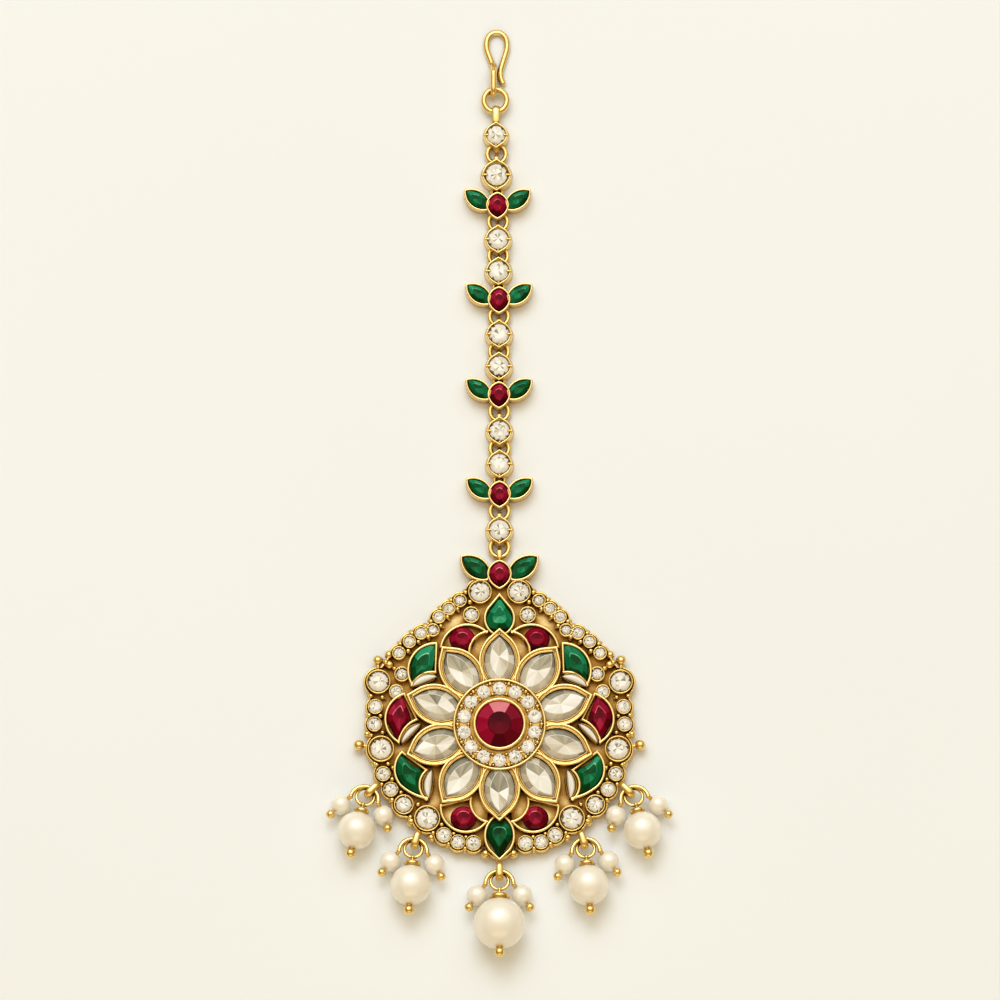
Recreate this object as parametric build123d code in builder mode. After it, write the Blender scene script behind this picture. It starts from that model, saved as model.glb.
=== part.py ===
"""Maang tikka: hook, stone-set chain, flower pendant and five pearl drops, lying flat.

Millimetres. The origin is the centre of the pendant's flat back, +Z rises through the flower,
+Y runs along the chain towards the hook, and the drops point to -Y.
"""

import os
from math import atan2, cos, degrees, hypot, radians, sin, sqrt, tan

from build123d import *

os.makedirs("parts", exist_ok=True)

# ---------------------------------------------------------------- driving dimensions
# Heights above the surface that the piece lies on
PLATE_TOP = 0.8
CELL_FLOOR = 1.3
BORDER_FLOOR = 1.5
BORDER_TOP = 2.4
BORDER_STONE_TOP = 2.55
CELL_TOP = 2.6
CELL_STONE_TOP = 2.9
PETAL_FLOOR = 2.1
PETAL_LEDGE = 3.05
PETAL_TOP = 3.4
PETAL_STONE_TOP = 3.45
HALO_FLOOR = 2.9
HALO_BED = 3.2
HALO_TOP = 3.8
HALO_STONE_TOP = 3.9
CENTRE_FLOOR = 2.9
CENTRE_TOP = 4.3
CENTRE_STONE_TOP = 4.9
LINK_FLOOR = 1.7
LINK_TOP = 2.6
LEAF_TOP = 2.5
LINK_STONE_TOP = 2.8
LEAF_STONE_TOP = 2.7

# Walls, rims and gaps
WALL = 0.42  # bezel wall at its top
DRAFT = 0.32  # how much wider a bezel is at its foot
LEDGE = 0.45  # flat step inside a petal cell's rim
STONE_GAP = 0.03  # round each stone
WIRE_GAP = 0.05  # between a ring and the loop that holds it
RIM_ROUND = 0.12
RIM_STEP = 0.35  # depth of the step inside a small rim
STEP_SHARE = 0.4  # how much of a small rim's wall that step takes
GIRDLE = 0.35  # upright edge of a stone below its facets
GIRDLE_SHARE = 0.35  # and the share of its height that this edge gains
TABLE_SHARE = 0.55  # size of a stone's flat top beside its girdle
STONE_EDGE = 0.3  # a small stone's girdle ends this far below its rim
SMALL_FACETS = 8
CROWN_TAPER = 40  # slope of a small stone's crown from upright
PETAL_GIRDLE = 0.7
PETAL_TAPER = 40  # slope of a petal stone's crown from upright

# Plate and cells
FLANGE = 0.28  # the plate stands this far outside the straight runs between border bezels
SCALLOP = 0.17  # and this far outside the bezels themselves
PLATE_CREST_INSET = 1.5
PLATE_TIP_INSET = 2.5
CRESCENT_DEPTH = 0.6
CRESCENT_RIM = 0.2

# Flower
PETAL_COUNT = 10
PETAL_HEEL = 5.3  # radius of the inner end
PETAL_BELLY = 10.5  # radius of the widest place
PETAL_HALF_WIDTH = 3.34
PETAL_SHOULDER = 14.1  # radius where the curved side becomes straight
PETAL_SHOULDER_HALF = 1.8
PETAL_TIP = 15.7
HALO_OUTER = 7.45
HALO_STONES = 14
HALO_PITCH = 5.8
HALO_STONE_R = 1.08
CENTRE_BEZEL_R = 4.28
CENTRE_RUBY_R = 3.66
CENTRE_TABLE_R = 1.9
CENTRE_SIDES = 16

# Chain: rings lie flat at this height, and the links' loops stand round them
RING_Z = 0.95
RING_R = 1.6
RING_WIRE = 0.3
SMALL_RING_R = 0.85
SMALL_RING_WIRE = 0.22
LOOP_WIDTH = 0.75
LOOP_STRAP = 0.38
LOOP_SPACE = 0.06  # from a loop to the middle of its ring
RING_ROOM = 0.12  # cut round a ring where it lies beside a link
PRONG = 0.5
PRONG_REACH = 0.28
PRONG_FOOT = 2.0
PRONG_TOP = 2.66
LEAF_WALL = 0.34
RUBY_WALL = 0.36

# Hook and its ring
HOOK_WIRE = 0.46
HOOK_X = -0.96  # the shank's line
HOOK_RING_CENTRE = (-0.67, 101.72, 1.41)
HOOK_RING_R = 1.88
HOOK_RING_WIRE = 0.44
HOOK_RING_PLAY = 0.1
EYE_SEAM_Y = 106.3  # where the eye's end lies against the shank
FIRST_BAIL_WIDTH = 1.2
FIRST_BAIL_SINK = 0.35  # how far the first link's bail reaches into its rim

# Drops
DROP_RING_R = 1.44
DROP_RING_WIRE = 0.24
BAIL_Z = 2.0
DROP_WIRE_Z = 2.3  # mid-height of a drop's ring and side wire
DROP_TILT = 12  # the rings rise towards the pearl
ARC_R = 2.24
ARC_WIRE = 0.31
ARC_SHIFT = 0.56  # the side wire's centre lies this much nearer the pearl
ARC_LIFT = 0.34  # the side wire lies this much above mid-height, and the ring as much below
KNOT_R = 0.42
PIN_R = 0.22
PIN_KNOB_R = 0.33
CAP_SHARE = 0.41  # a pearl cap's radius beside its pearl's
CAP_HEIGHT = 0.75
COLLAR_R = 0.5
COLLAR_HEIGHT = 0.35
END_BALL_R = 0.86
END_BALL_REACH = 0.8  # from the pearl's surface to the ball's centre
BAIL_LENGTH = 3.3
BAIL_START = 0.02  # from the ring's centre
BAIL_WIDTH = 1.3
BAIL_HEIGHT = 2.2
BAIL_STRAP = 0.38
BAIL_STEM_R = 0.38  # the stem under the stones that ties a bail to the plate
BAIL_STEM_Z = 1.1
BAIL_STEM_FROM = 2.5
BAIL_STEM_TO = 4.1

# ---------------------------------------------------------------- tables
# round links of the chain: x, y, rim radius, stone radius
ROUND_LINKS = [
    (-0.56, 95.98, 1.84, 1.44),
    (-0.48, 89.48, 2.28, 1.68),
    (-0.24, 79.00, 2.00, 1.54),
    (-0.16, 73.80, 2.00, 1.54),
    (-0.08, 63.57, 2.00, 1.54),
    (-0.08, 58.33, 2.00, 1.54),
    (0.00, 47.81, 2.00, 1.54),
    (0.00, 42.45, 2.00, 1.54),
    (0.00, 31.72, 2.00, 1.54),
]

# leaf links of the chain, at their ruby's centre: x, y
LEAF_LINKS = [(-0.32, 84.61), (-0.08, 69.25), (-0.08, 53.78), (0.00, 37.65)]
CREST = (0.0, 24.66)
CREST_RUBY_SCALE = 1.07
CREST_LEAF_SCALE = 1.17

# rings between links: x, y, mean radius, wire radius
CHAIN_RINGS = [
    (-0.48, 93.05, RING_R, RING_WIRE),
    (-0.40, 86.85, SMALL_RING_R, SMALL_RING_WIRE),
    (-0.24, 82.00, RING_R, RING_WIRE),
    (-0.20, 76.46, RING_R, RING_WIRE),
    (-0.12, 71.45, SMALL_RING_R, SMALL_RING_WIRE),
    (-0.08, 66.60, RING_R, RING_WIRE),
    (-0.08, 60.90, RING_R, RING_WIRE),
    (-0.08, 56.05, SMALL_RING_R, SMALL_RING_WIRE),
    (-0.04, 51.13, RING_R, RING_WIRE),
    (0.00, 45.13, RING_R, RING_WIRE),
    (0.00, 40.00, SMALL_RING_R, SMALL_RING_WIRE),
    (0.00, 34.95, RING_R, RING_WIRE),
    (0.00, 29.05, RING_R, RING_WIRE),
]

# border bezels of the right half, from the crest down to the bottom tip: x, y, rim radius, stone radius
BORDER = [
    (3.12, 21.71, 1.92, 1.54),
    (6.32, 20.29, 1.12, 0.80),
    (8.08, 18.99, 1.10, 0.82),
    (9.68, 17.61, 1.10, 0.86),
    (10.64, 15.50, 1.10, 0.78),
    (12.56, 15.01, 1.10, 0.88),
    (14.40, 13.63, 1.10, 0.88),
    (16.08, 11.76, 1.12, 0.84),
    (19.36, 7.13, 1.98, 1.56),
    (19.84, 3.07, 1.22, 1.04),
    (20.00, 0.23, 1.22, 1.08),
    (18.93, -3.75, 2.14, 1.62),
    (18.59, -7.81, 1.22, 1.08),
    (17.36, -10.33, 1.22, 1.08),
    (15.28, -12.77, 1.62, 1.22),
    (11.55, -15.01, 2.12, 1.64),
    (8.88, -17.72, 1.26, 1.12),
    (6.64, -18.86, 1.20, 1.06),
    (4.16, -19.02, 1.26, 1.10),
]

# bezels inside the border: x, y, rim radius, stone radius
INNER_BEZELS = [(4.51, 17.97, 1.36, 1.04), (15.60, 8.35, 1.25, 0.90), (16.50, 5.50, 1.20, 0.95)]

# gold beads soldered to the border: x, y, z, radius
BEADS = [
    (17.68, 11.57, 1.5, 0.64),
    (17.60, 9.95, 1.5, 0.72),
    (21.15, -1.26, 1.4, 0.56),
    (19.92, -6.10, 1.6, 0.48),
    (17.00, -6.78, 1.6, 0.48),
    (14.10, -15.40, 1.3, 0.72),
    (10.88, -18.00, 1.3, 0.62),
    (2.20, -20.60, 1.3, 0.72),
]

BEAD_POST_SHARE = 0.6  # radius of a bead's post beside the bead's
BEAD_LEAN = 0.985  # the post stands this much nearer the centre
BEAD_POST_FOOT = 0.2

# gold balls that stand off the right edge on short stems: x, y, radius, stem root x and y
KNOBS = [(19.44, 10.68, 0.83, 19.38, 8.95), (22.48, -3.05, 0.88, 20.70, -3.30)]
KNOB_Z = 1.5
KNOB_STEM = 0.32

# walls of the coloured cells of the right half; each side runs from a corner through a via point
# to the next corner, and a side without a via point is straight
CELLS = {
    "upper_ruby": [
        ((1.68, 14.99), (5.68, 16.53)),
        ((9.60, 12.55), None),
        ((4.56, 11.25), (4.16, 13.53)),
    ],
    "upper_emerald": [
        ((9.84, 13.53), (14.22, 11.17)),
        ((13.92, 6.14), (12.32, 8.05)),
        ((10.00, 8.33), None),
    ],
    "side_ruby": [
        ((15.12, 5.40), (18.45, 1.34)),
        ((15.92, -3.04), (14.96, -0.61)),
        ((12.88, 0.85), None),
    ],
    "lower_emerald": [
        ((15.60, -4.02), (16.96, -6.94)),
        ((15.92, -9.87), (14.00, -11.20)),
        ((11.28, -12.06), (12.56, -9.71)),
        ((11.28, -7.27), None),
    ],
    "lower_ruby": [
        ((1.68, -15.39), (4.08, -13.77)),
        ((4.24, -11.49), None),
        ((9.60, -12.79), (6.00, -17.42)),
    ],
}

# girdles of the coloured stones of the right half, from the cell's first corner round
CELL_STONES = {
    "upper_ruby": [
        (3.2, 15.0),
        (4.4, 15.6),
        (5.8, 15.9),
        (7.3, 15.4),
        (7.95, 14.25),
        (7.8, 13.15),
        (6.2, 12.6),
        (4.95, 12.6),
        (4.4, 13.9),
    ],
    "upper_emerald": [
        (10.56, 12.59),
        (12.35, 12.2),
        (13.45, 11.0),
        (13.95, 9.45),
        (13.85, 7.9),
        (13.6, 7.5),
        (12.6, 8.35),
        (11.3, 8.75),
        (10.75, 9.6),
    ],
    "side_ruby": [
        (15.7, 3.95),
        (16.7, 3.15),
        (17.4, 2.15),
        (17.55, 1.02),
        (17.0, -0.3),
        (16.05, -1.9),
        (15.5, -0.75),
        (14.65, 0.35),
        (14.6, 1.4),
        (15.1, 2.7),
    ],
    "lower_emerald": [
        (15.54, -5.2),
        (16.1, -5.95),
        (16.2, -7.6),
        (15.6, -9.0),
        (14.5, -10.1),
        (12.9, -10.75),
        (12.9, -9.2),
        (12.6, -8.0),
        (12.9, -7.2),
        (14.2, -6.5),
    ],
    "lower_ruby": [
        (3.4, -15.25),
        (4.3, -14.3),
        (4.9, -13.45),
        (5.7, -13.15),
        (7.1, -13.3),
        (7.9, -14.6),
        (7.2, -15.95),
        (5.8, -16.6),
        (4.4, -16.1),
    ],
}

# pointed cells on the centre line: tip y, shoulder x and y, side via x and y, foot x and y
POINTED_CELLS = [
    (21.57, 1.70, 19.50, 2.56, 17.30, 0.90, 14.60),
    (-22.05, 1.75, -20.30, 2.53, -18.00, 0.90, -14.60),
]
TOP_EMERALD = [(0.0, 20.4), (0.95, 19.2), (1.72, 18.1), (2.05, 17.2), (1.85, 16.2), (1.3, 15.9)]
BOTTOM_EMERALD = [(0.0, -20.95), (1.09, -19.4), (1.8, -18.1), (1.85, -17.1), (1.3, -16.0)]

# narrow white cells of the right half: one end, outer via, other end, inner via
CRESCENTS = [
    ((10.00, 7.84), (11.92, 8.57), (13.90, 6.24), (11.76, 6.58)),
    ((12.56, 0.21), (14.56, -0.26), (15.60, -2.90), (13.76, -1.66)),
    ((10.80, -7.27), (12.44, -9.38), (11.28, -11.80), (10.48, -9.71)),
]

# ruby between the leaves, from its centre: half width, upper reach, lower reach
RUBY_BEZEL = (1.89, 2.10, 2.42)
RUBY_STONE = (1.45, 1.62, 1.90)
# places on its right side, in half widths and in upper or lower reaches
RUBY_UPPER_VIA = (0.93, 0.42)
RUBY_LOWER_VIA = (0.86, -0.42)
RUBY_GIRDLE = [(0, 1), (0.62, 0.68), (1, 0.1), (0.75, -0.5), (0, -1)]
# right leaf, from the ruby's centre: tip, upper via, upper root, lower root, lower via
LEAF_BEZEL = ((5.34, 2.47), (3.20, 2.50), (1.20, 0.60), (1.50, -0.95), (4.45, -0.15))
LEAF_STONE = [
    (4.85, 2.1),
    (4.0, 2.1),
    (2.95, 1.7),
    (2.25, 1.0),
    (2.2, -0.5),
    (3.1, -0.5),
    (4.1, 0.15),
    (4.65, 1.1),
]

# drops of the middle and the right side: ring centre x and y, bail turn, drop turn, pearl radius,
# ring centre to pearl centre, small pearl radius
DROPS = [
    (0.00, -25.17, 0, 0, 4.16, 7.15, 1.70),
    (13.76, -19.97, 16, 4, 3.28, 6.05, 1.66),
    (21.44, -11.52, 44, 14, 3.04, 5.75, 1.64),
]
# small pearl and its end ball from the ring centre, across and along, then the ball's height and
# radius, all in radii of the small pearl
SIDE_PEARL = (2.12, -1.30)
SIDE_BALL = (2.86, -2.52)
SIDE_BALL_LIFT = 1.50
SIDE_BALL_R = 0.44


# ---------------------------------------------------------------- outlines
def closed_sides(sides, flip=1):
    """Draws a closed outline of arcs and straight sides, mirrored across the centre line by flip -1."""
    corners = [corner for corner, via in sides]
    with BuildLine() as line:
        for index, (start, via) in enumerate(sides):
            end = corners[(index + 1) % len(corners)]
            if via is None:
                Line((flip * start[0], start[1]), (flip * end[0], end[1]))
            else:
                ThreePointArc(
                    (flip * start[0], start[1]), (flip * via[0], via[1]), (flip * end[0], end[1])
                )
    return line.line


def petal_line():
    """One petal's outline, pointing along +X from the flower's centre."""
    with BuildLine() as line:
        for side in (1, -1):
            shoulder = (PETAL_SHOULDER, side * PETAL_SHOULDER_HALF)
            ThreePointArc((PETAL_HEEL, 0), (PETAL_BELLY, side * PETAL_HALF_WIDTH), shoulder)
            Line(shoulder, (PETAL_TIP, 0))
    return line.line


def pointed_line(tip_y, shoulder_x, shoulder_y, via_x, via_y, foot_x, foot_y):
    """A drop-shaped outline on the centre line, with a straight foot hidden below a petal."""
    with BuildLine() as line:
        for side in (1, -1):
            Line((0, tip_y), (side * shoulder_x, shoulder_y))
            ThreePointArc(
                (side * shoulder_x, shoulder_y), (side * via_x, via_y), (side * foot_x, foot_y)
            )
        Line((foot_x, foot_y), (-foot_x, foot_y))
    return line.line


def ruby_line(centre, size, scale=1.0):
    """The pointed oval of a ruby between leaves."""
    half, up, down = [scale * value for value in size]
    x, y = centre
    with BuildLine() as line:
        for side in (1, -1):
            upper_via = (x + side * RUBY_UPPER_VIA[0] * half, y + RUBY_UPPER_VIA[1] * up)
            lower_via = (x + side * RUBY_LOWER_VIA[0] * half, y + RUBY_LOWER_VIA[1] * down)
            ThreePointArc((x, y + up), upper_via, (x + side * half, y))
            ThreePointArc((x + side * half, y), lower_via, (x, y - down))
    return line.line


def leaf_line(centre, side, scale=1.0):
    """One leaf bezel's outline, side 1 to the right and -1 to the left."""
    tip, upper_via, upper_root, lower_root, lower_via = [
        (centre[0] + side * scale * x, centre[1] + scale * y) for x, y in LEAF_BEZEL
    ]
    with BuildLine() as line:
        ThreePointArc(upper_root, upper_via, tip)
        ThreePointArc(tip, lower_via, lower_root)
        Line(lower_root, upper_root)
    return line.line


def mirrored(points):
    """The right half of a girdle, closed on the left."""
    left = [(-x, y) for x, y in reversed(points) if x > 0]
    return points + left


# ---------------------------------------------------------------- solids added to the open part
def add_prism(outline, bottom, top, grow=0.0, mode=Mode.ADD):
    """Extrudes an outline, grown or shrunk by grow, between two heights."""
    add_layer([outline_face(outline, grow)], bottom, top, mode)


def outline_face(outline, grow=0.0):
    """The flat face inside an outline, grown or shrunk by grow."""
    with BuildSketch() as profile:
        with BuildLine():
            add(outline)
        make_face()
        if grow:
            offset(amount=grow, kind=Kind.INTERSECTION, mode=Mode.REPLACE)
    return profile.sketch


def disc(x, y, radius):
    """A round face at a place."""
    with BuildSketch() as profile:
        with Locations((x, y)):
            Circle(radius)
    return profile.sketch


def add_layer(faces, bottom, top, mode=Mode.ADD):
    """Extrudes many faces at once between two heights."""
    with BuildSketch(Plane.XY.offset(bottom)) as layer:
        for face in faces:
            add(face)
    extrude(layer.sketch, amount=top - bottom, mode=mode)


def add_round_bezel(x, y, rim_r, stone_r, floor, top, draft=0.0):
    """A round bezel with a rounded rim, a wider foot and a step round the stone."""
    seat_r = stone_r + STONE_GAP
    edge = min(RIM_ROUND, (rim_r - seat_r) / 4)
    step_r = seat_r + STEP_SHARE * (rim_r - seat_r)
    step_z = top - RIM_STEP
    with BuildSketch(Plane.XZ.offset(-y)) as profile:
        with BuildLine():
            Polyline(
                (x, 0),
                (x + rim_r + draft, 0),
                (x + rim_r, top - edge),
                (x + rim_r - edge, top),
                (x + step_r, top),
                (x + step_r, step_z),
                (x + seat_r, step_z),
                (x + seat_r, floor),
                (x, floor),
                close=True,
            )
        make_face()
    revolve(profile.sketch, axis=Axis((x, y, 0), (0, 0, 1)))


def add_bead(x, y, z, radius):
    """A gold bead soldered in place."""
    with Locations((x, y, z)):
        Sphere(radius)


def add_flat_ring(x, y, z, ring_r, wire_r, mode=Mode.ADD):
    """A ring of round wire lying flat."""
    with Locations((x, y, z)):
        Torus(ring_r, wire_r, mode=mode)


def add_strap_loop(middle, turn, length, height, width, strap):
    """A standing loop of flat strap, longer along its run, that a ring passes through."""
    run = (-sin(radians(turn)), cos(radians(turn)), 0)
    across = (cos(radians(turn)), sin(radians(turn)), 0)
    with BuildSketch(Plane(origin=middle, x_dir=run, z_dir=across)) as profile:
        SlotOverall(length, height)
        SlotOverall(length - 2 * strap, height - 2 * strap, mode=Mode.SUBTRACT)
    extrude(profile.sketch, amount=width / 2, both=True)


def add_link_loop(ring, towards):
    """The loop of a link round one side of a chain ring; towards is 1 for the side nearer the hook."""
    x, y, ring_r, wire_r = ring
    opening = 2 * (wire_r + WIRE_GAP)
    height = opening + 2 * LOOP_STRAP
    length = ring_r + wire_r + WIRE_GAP + LOOP_STRAP - LOOP_SPACE
    middle_y = y + towards * (ring_r + wire_r + WIRE_GAP + LOOP_STRAP - length / 2)
    add_strap_loop((x, middle_y, RING_Z), 0, length, height, LOOP_WIDTH, LOOP_STRAP)


def add_faceted(points, bottom, top, table=TABLE_SHARE):
    """A cut stone: an upright girdle, then flat facets up to a smaller table."""
    girdle_top = bottom + GIRDLE + GIRDLE_SHARE * (top - bottom)
    middle_x = sum(x for x, y in points) / len(points)
    middle_y = sum(y for x, y in points) / len(points)
    crown = [(middle_x + table * (x - middle_x), middle_y + table * (y - middle_y)) for x, y in points]
    with BuildSketch(Plane.XY.offset(bottom)) as base:
        Polygon(*points, align=None)
    extrude(base.sketch, amount=girdle_top - bottom)
    with BuildSketch(Plane.XY.offset(girdle_top)) as girdle:
        Polygon(*points, align=None)
    with BuildSketch(Plane.XY.offset(top)) as table_face:
        Polygon(*crown, align=None)
    loft([girdle.sketch, table_face.sketch], ruled=True)


def add_round_stones(places, bottom, girdle_top, top):
    """Small round stones: an upright girdle and a crown of flat facets. Places hold x, y and radius."""
    with BuildSketch(Plane.XY.offset(bottom)) as girdles:
        for x, y, radius in places:
            with Locations((x, y)):
                RegularPolygon(radius, SMALL_FACETS)
    extrude(girdles.sketch, amount=girdle_top - bottom)
    crowns = girdles.sketch.moved(Location((0, 0, girdle_top - bottom)))
    extrude(crowns, amount=top - girdle_top, taper=CROWN_TAPER)


def round_points(radius, count):
    """The girdle of the round centre stone, with a flat side to the right."""
    steps = [radians((index + 0.5) * 360 / count) for index in range(count)]
    return [(radius * cos(step), radius * sin(step)) for step in steps]


def pin_line(start, end, radius, mode=Mode.ADD):
    """A round pin between two places."""
    length = sqrt(sum((b - a) ** 2 for a, b in zip(start, end)))
    direction = tuple((b - a) / length for a, b in zip(start, end))
    with BuildSketch(Plane(origin=start, z_dir=direction)) as profile:
        Circle(radius)
    extrude(profile.sketch, amount=length, mode=mode)


def write(piece, name):
    """Labels a finished piece and writes it."""
    piece.part.label = name
    export_step(piece.part, f"parts/{name}.step")


# ---------------------------------------------------------------- hook and ring
with BuildPart() as hook_ring:
    add_flat_ring(*HOOK_RING_CENTRE, HOOK_RING_R, HOOK_RING_WIRE)
write(hook_ring, "hook_ring")

EYE_TOP = HOOK_WIRE + 2 * (HOOK_RING_WIRE + WIRE_GAP + HOOK_WIRE)
eye_end_y = HOOK_RING_CENTRE[1] + HOOK_RING_R - HOOK_RING_WIRE - WIRE_GAP - HOOK_WIRE
HOOK_PATH = [
    (0.52, 104.75, HOOK_WIRE),
    (-0.02, 106.2, HOOK_WIRE),
    (1.3, 110.6, HOOK_WIRE),
    (1.05, 113.0, HOOK_WIRE),
    (-1.95, 113.0, HOOK_WIRE),
    (-2.2, 110.6, HOOK_WIRE),
    (HOOK_X, 107.2, HOOK_WIRE),
    (HOOK_X, eye_end_y, HOOK_WIRE),
    (HOOK_X, eye_end_y, EYE_TOP),
    (HOOK_X, EYE_SEAM_Y, EYE_TOP),
]
HOOK_BENDS = [3.0, 3.5, 1.25, 1.25, 3.5, 4.0, 0.9, 0.9]
EYE_CLOSE = (HOOK_X, 107.6, 0.86)  # where the eye's end is soldered to the shank
with BuildPart() as hook:
    with BuildLine() as hook_wire:
        FilletPolyline(*HOOK_PATH, radius=HOOK_BENDS)
    with BuildSketch(Plane(origin=hook_wire.line @ 0, z_dir=hook_wire.line % 0)):
        Circle(HOOK_WIRE)
    sweep(path=hook_wire.line)
    with Locations(HOOK_PATH[0], HOOK_PATH[-1]):
        Sphere(HOOK_WIRE)
    pin_line(HOOK_PATH[-1], EYE_CLOSE, HOOK_WIRE)
write(hook, "hook")

# ---------------------------------------------------------------- chain
with BuildPart() as jump_rings:
    for ring in CHAIN_RINGS:
        add_flat_ring(*ring[:2], RING_Z, *ring[2:])
write(jump_rings, "jump_rings")


def rings_beside(y):
    """The chain rings next to a link at this place, each with the side the link lies on."""
    above = min((ring for ring in CHAIN_RINGS if ring[1] > y), key=lambda ring: ring[1], default=None)
    below = max((ring for ring in CHAIN_RINGS if ring[1] < y), key=lambda ring: ring[1], default=None)
    return [(ring, side) for ring, side in ((above, -1), (below, 1)) if ring]


def free_rings(y):
    """Clears the room of the rings beside a link, then adds the loops that hold them."""
    for ring, side in rings_beside(y):
        add_flat_ring(*ring[:2], RING_Z, ring[2], ring[3] + RING_ROOM, mode=Mode.SUBTRACT)
    for ring, side in rings_beside(y):
        add_link_loop(ring, side)


for number, (x, y, rim_r, stone_r) in enumerate(ROUND_LINKS, start=1):
    with BuildPart() as chain_link:
        add_round_bezel(x, y, rim_r, stone_r, LINK_FLOOR, LINK_TOP, DRAFT)
        with BuildSketch(Plane.XY.offset(PRONG_FOOT)):
            with Locations((x, y)):
                with PolarLocations(rim_r - PRONG_REACH / 2, 4):
                    Rectangle(PRONG_REACH, PRONG)
        extrude(amount=PRONG_TOP - PRONG_FOOT)
        free_rings(y)
        if number == 1:
            bail_foot = y + rim_r - FIRST_BAIL_SINK
            ring_inside = HOOK_RING_CENTRE[1] - HOOK_RING_R + HOOK_RING_WIRE
            bail_top = ring_inside + WIRE_GAP + HOOK_RING_PLAY + LOOP_STRAP
            bail_middle = (x, (bail_top + bail_foot) / 2, HOOK_RING_CENTRE[2])
            bail_height = 2 * (HOOK_RING_WIRE + WIRE_GAP + LOOP_STRAP)
            bail_length = bail_top - bail_foot
            add_strap_loop(bail_middle, 0, bail_length, bail_height, FIRST_BAIL_WIDTH, LOOP_STRAP)
    write(chain_link, f"chain_link_{number}")


def add_leaf_cluster(centre, ruby_scale=1.0, leaf_scale=1.0):
    """A ruby bezel between two leaf bezels, on solid backs."""
    for side in (1, -1):
        outline = leaf_line(centre, side, leaf_scale)
        add_prism(outline, 0, LEAF_TOP)
        add_prism(outline, LINK_FLOOR, LINK_TOP, grow=-LEAF_WALL, mode=Mode.SUBTRACT)
    outline = ruby_line(centre, RUBY_BEZEL, ruby_scale)
    add_prism(outline, 0, LINK_TOP)
    add_prism(outline, LINK_FLOOR, LINK_TOP, grow=-RUBY_WALL, mode=Mode.SUBTRACT)


for number, centre in enumerate(LEAF_LINKS, start=1):
    with BuildPart() as leaf_link:
        add_leaf_cluster(centre)
        free_rings(centre[1])
    write(leaf_link, f"leaf_link_{number}")

with BuildPart() as chain_clear_stones:
    places = [(x, y, stone_r) for x, y, rim_r, stone_r in ROUND_LINKS]
    add_round_stones(places, LINK_FLOOR, LINK_TOP - STONE_EDGE, LINK_STONE_TOP)
write(chain_clear_stones, "chain_clear_stones")

CLUSTERS = [(centre, 1.0, 1.0) for centre in LEAF_LINKS] + [(CREST, CREST_RUBY_SCALE, CREST_LEAF_SCALE)]
with BuildPart() as chain_rubies:
    for (x, y), ruby_scale, leaf_scale in CLUSTERS:
        half, up, down = [ruby_scale * value for value in RUBY_STONE]
        girdle = [(half * across, (up if along > 0 else down) * along) for across, along in RUBY_GIRDLE]
        add_faceted([(x + a, y + b) for a, b in mirrored(girdle)], LINK_FLOOR, LINK_STONE_TOP)
write(chain_rubies, "chain_rubies")

with BuildPart() as chain_emeralds:
    for (x, y), ruby_scale, leaf_scale in CLUSTERS:
        for side in (1, -1):
            girdle = [(x + side * leaf_scale * a, y + leaf_scale * b) for a, b in LEAF_STONE]
            add_faceted(girdle, LINK_FLOOR, LEAF_STONE_TOP)
write(chain_emeralds, "chain_emeralds")


# ---------------------------------------------------------------- pendant setting
def drop_sides():
    """Every drop with its side: the middle one once, the others right and left."""
    rows = [(DROPS[0], 1)]
    for row in DROPS[1:]:
        rows += [(row, 1), (row, -1)]
    return rows


def drop_point(row, side, across, along, height):
    """A place in a drop's own directions: across it, along it from its ring's centre, and up."""
    x, y, bail_turn, drop_turn = row[:4]
    turn = radians(drop_turn)
    place_x = x + across * cos(turn) - along * sin(turn)
    place_y = y + across * sin(turn) + along * cos(turn)
    return (side * place_x, place_y, height)


def add_capsule(start, end, radius):
    """Two discs joined by a straight band."""
    length = hypot(end[0] - start[0], end[1] - start[1])
    turn = degrees(atan2(end[1] - start[1], end[0] - start[0]))
    with Locations(Location(((start[0] + end[0]) / 2, (start[1] + end[1]) / 2, 0), (0, 0, turn))):
        SlotCenterToCenter(length, 2 * radius)


SIDES = (1, -1)
SMALL_BEZELS = BORDER + INNER_BEZELS
cell_lines = {(kind, side): closed_sides(CELLS[kind], side) for kind in CELLS for side in SIDES}
pointed_lines = [pointed_line(*row) for row in POINTED_CELLS]
crescent_lines = [
    closed_sides([(first, outer_via), (last, inner_via)], side)
    for side in SIDES
    for first, outer_via, last, inner_via in CRESCENTS
]
petal_lines = [
    petal_line().rotate(Axis.Z, 90 - 360 * number / PETAL_COUNT) for number in range(PETAL_COUNT)
]
halo_places = [
    (HALO_PITCH * sin(radians(turn)), HALO_PITCH * cos(radians(turn)))
    for turn in [360 * number / HALO_STONES for number in range(HALO_STONES)]
]

with BuildPart() as bead_work:
    for side in SIDES:
        for x, y, z, bead_r in BEADS:
            add_bead(side * x, y, z, bead_r)
            post = disc(side * x * BEAD_LEAN, y * BEAD_LEAN, bead_r * BEAD_POST_SHARE)
            add_layer([post], BEAD_POST_FOOT, z)
        for x, y, knob_r, root_x, root_y in KNOBS:
            add_bead(side * x, y, KNOB_Z, knob_r)
            pin_line((side * root_x, root_y, KNOB_Z), (side * x, y, KNOB_Z), KNOB_STEM)

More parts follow.
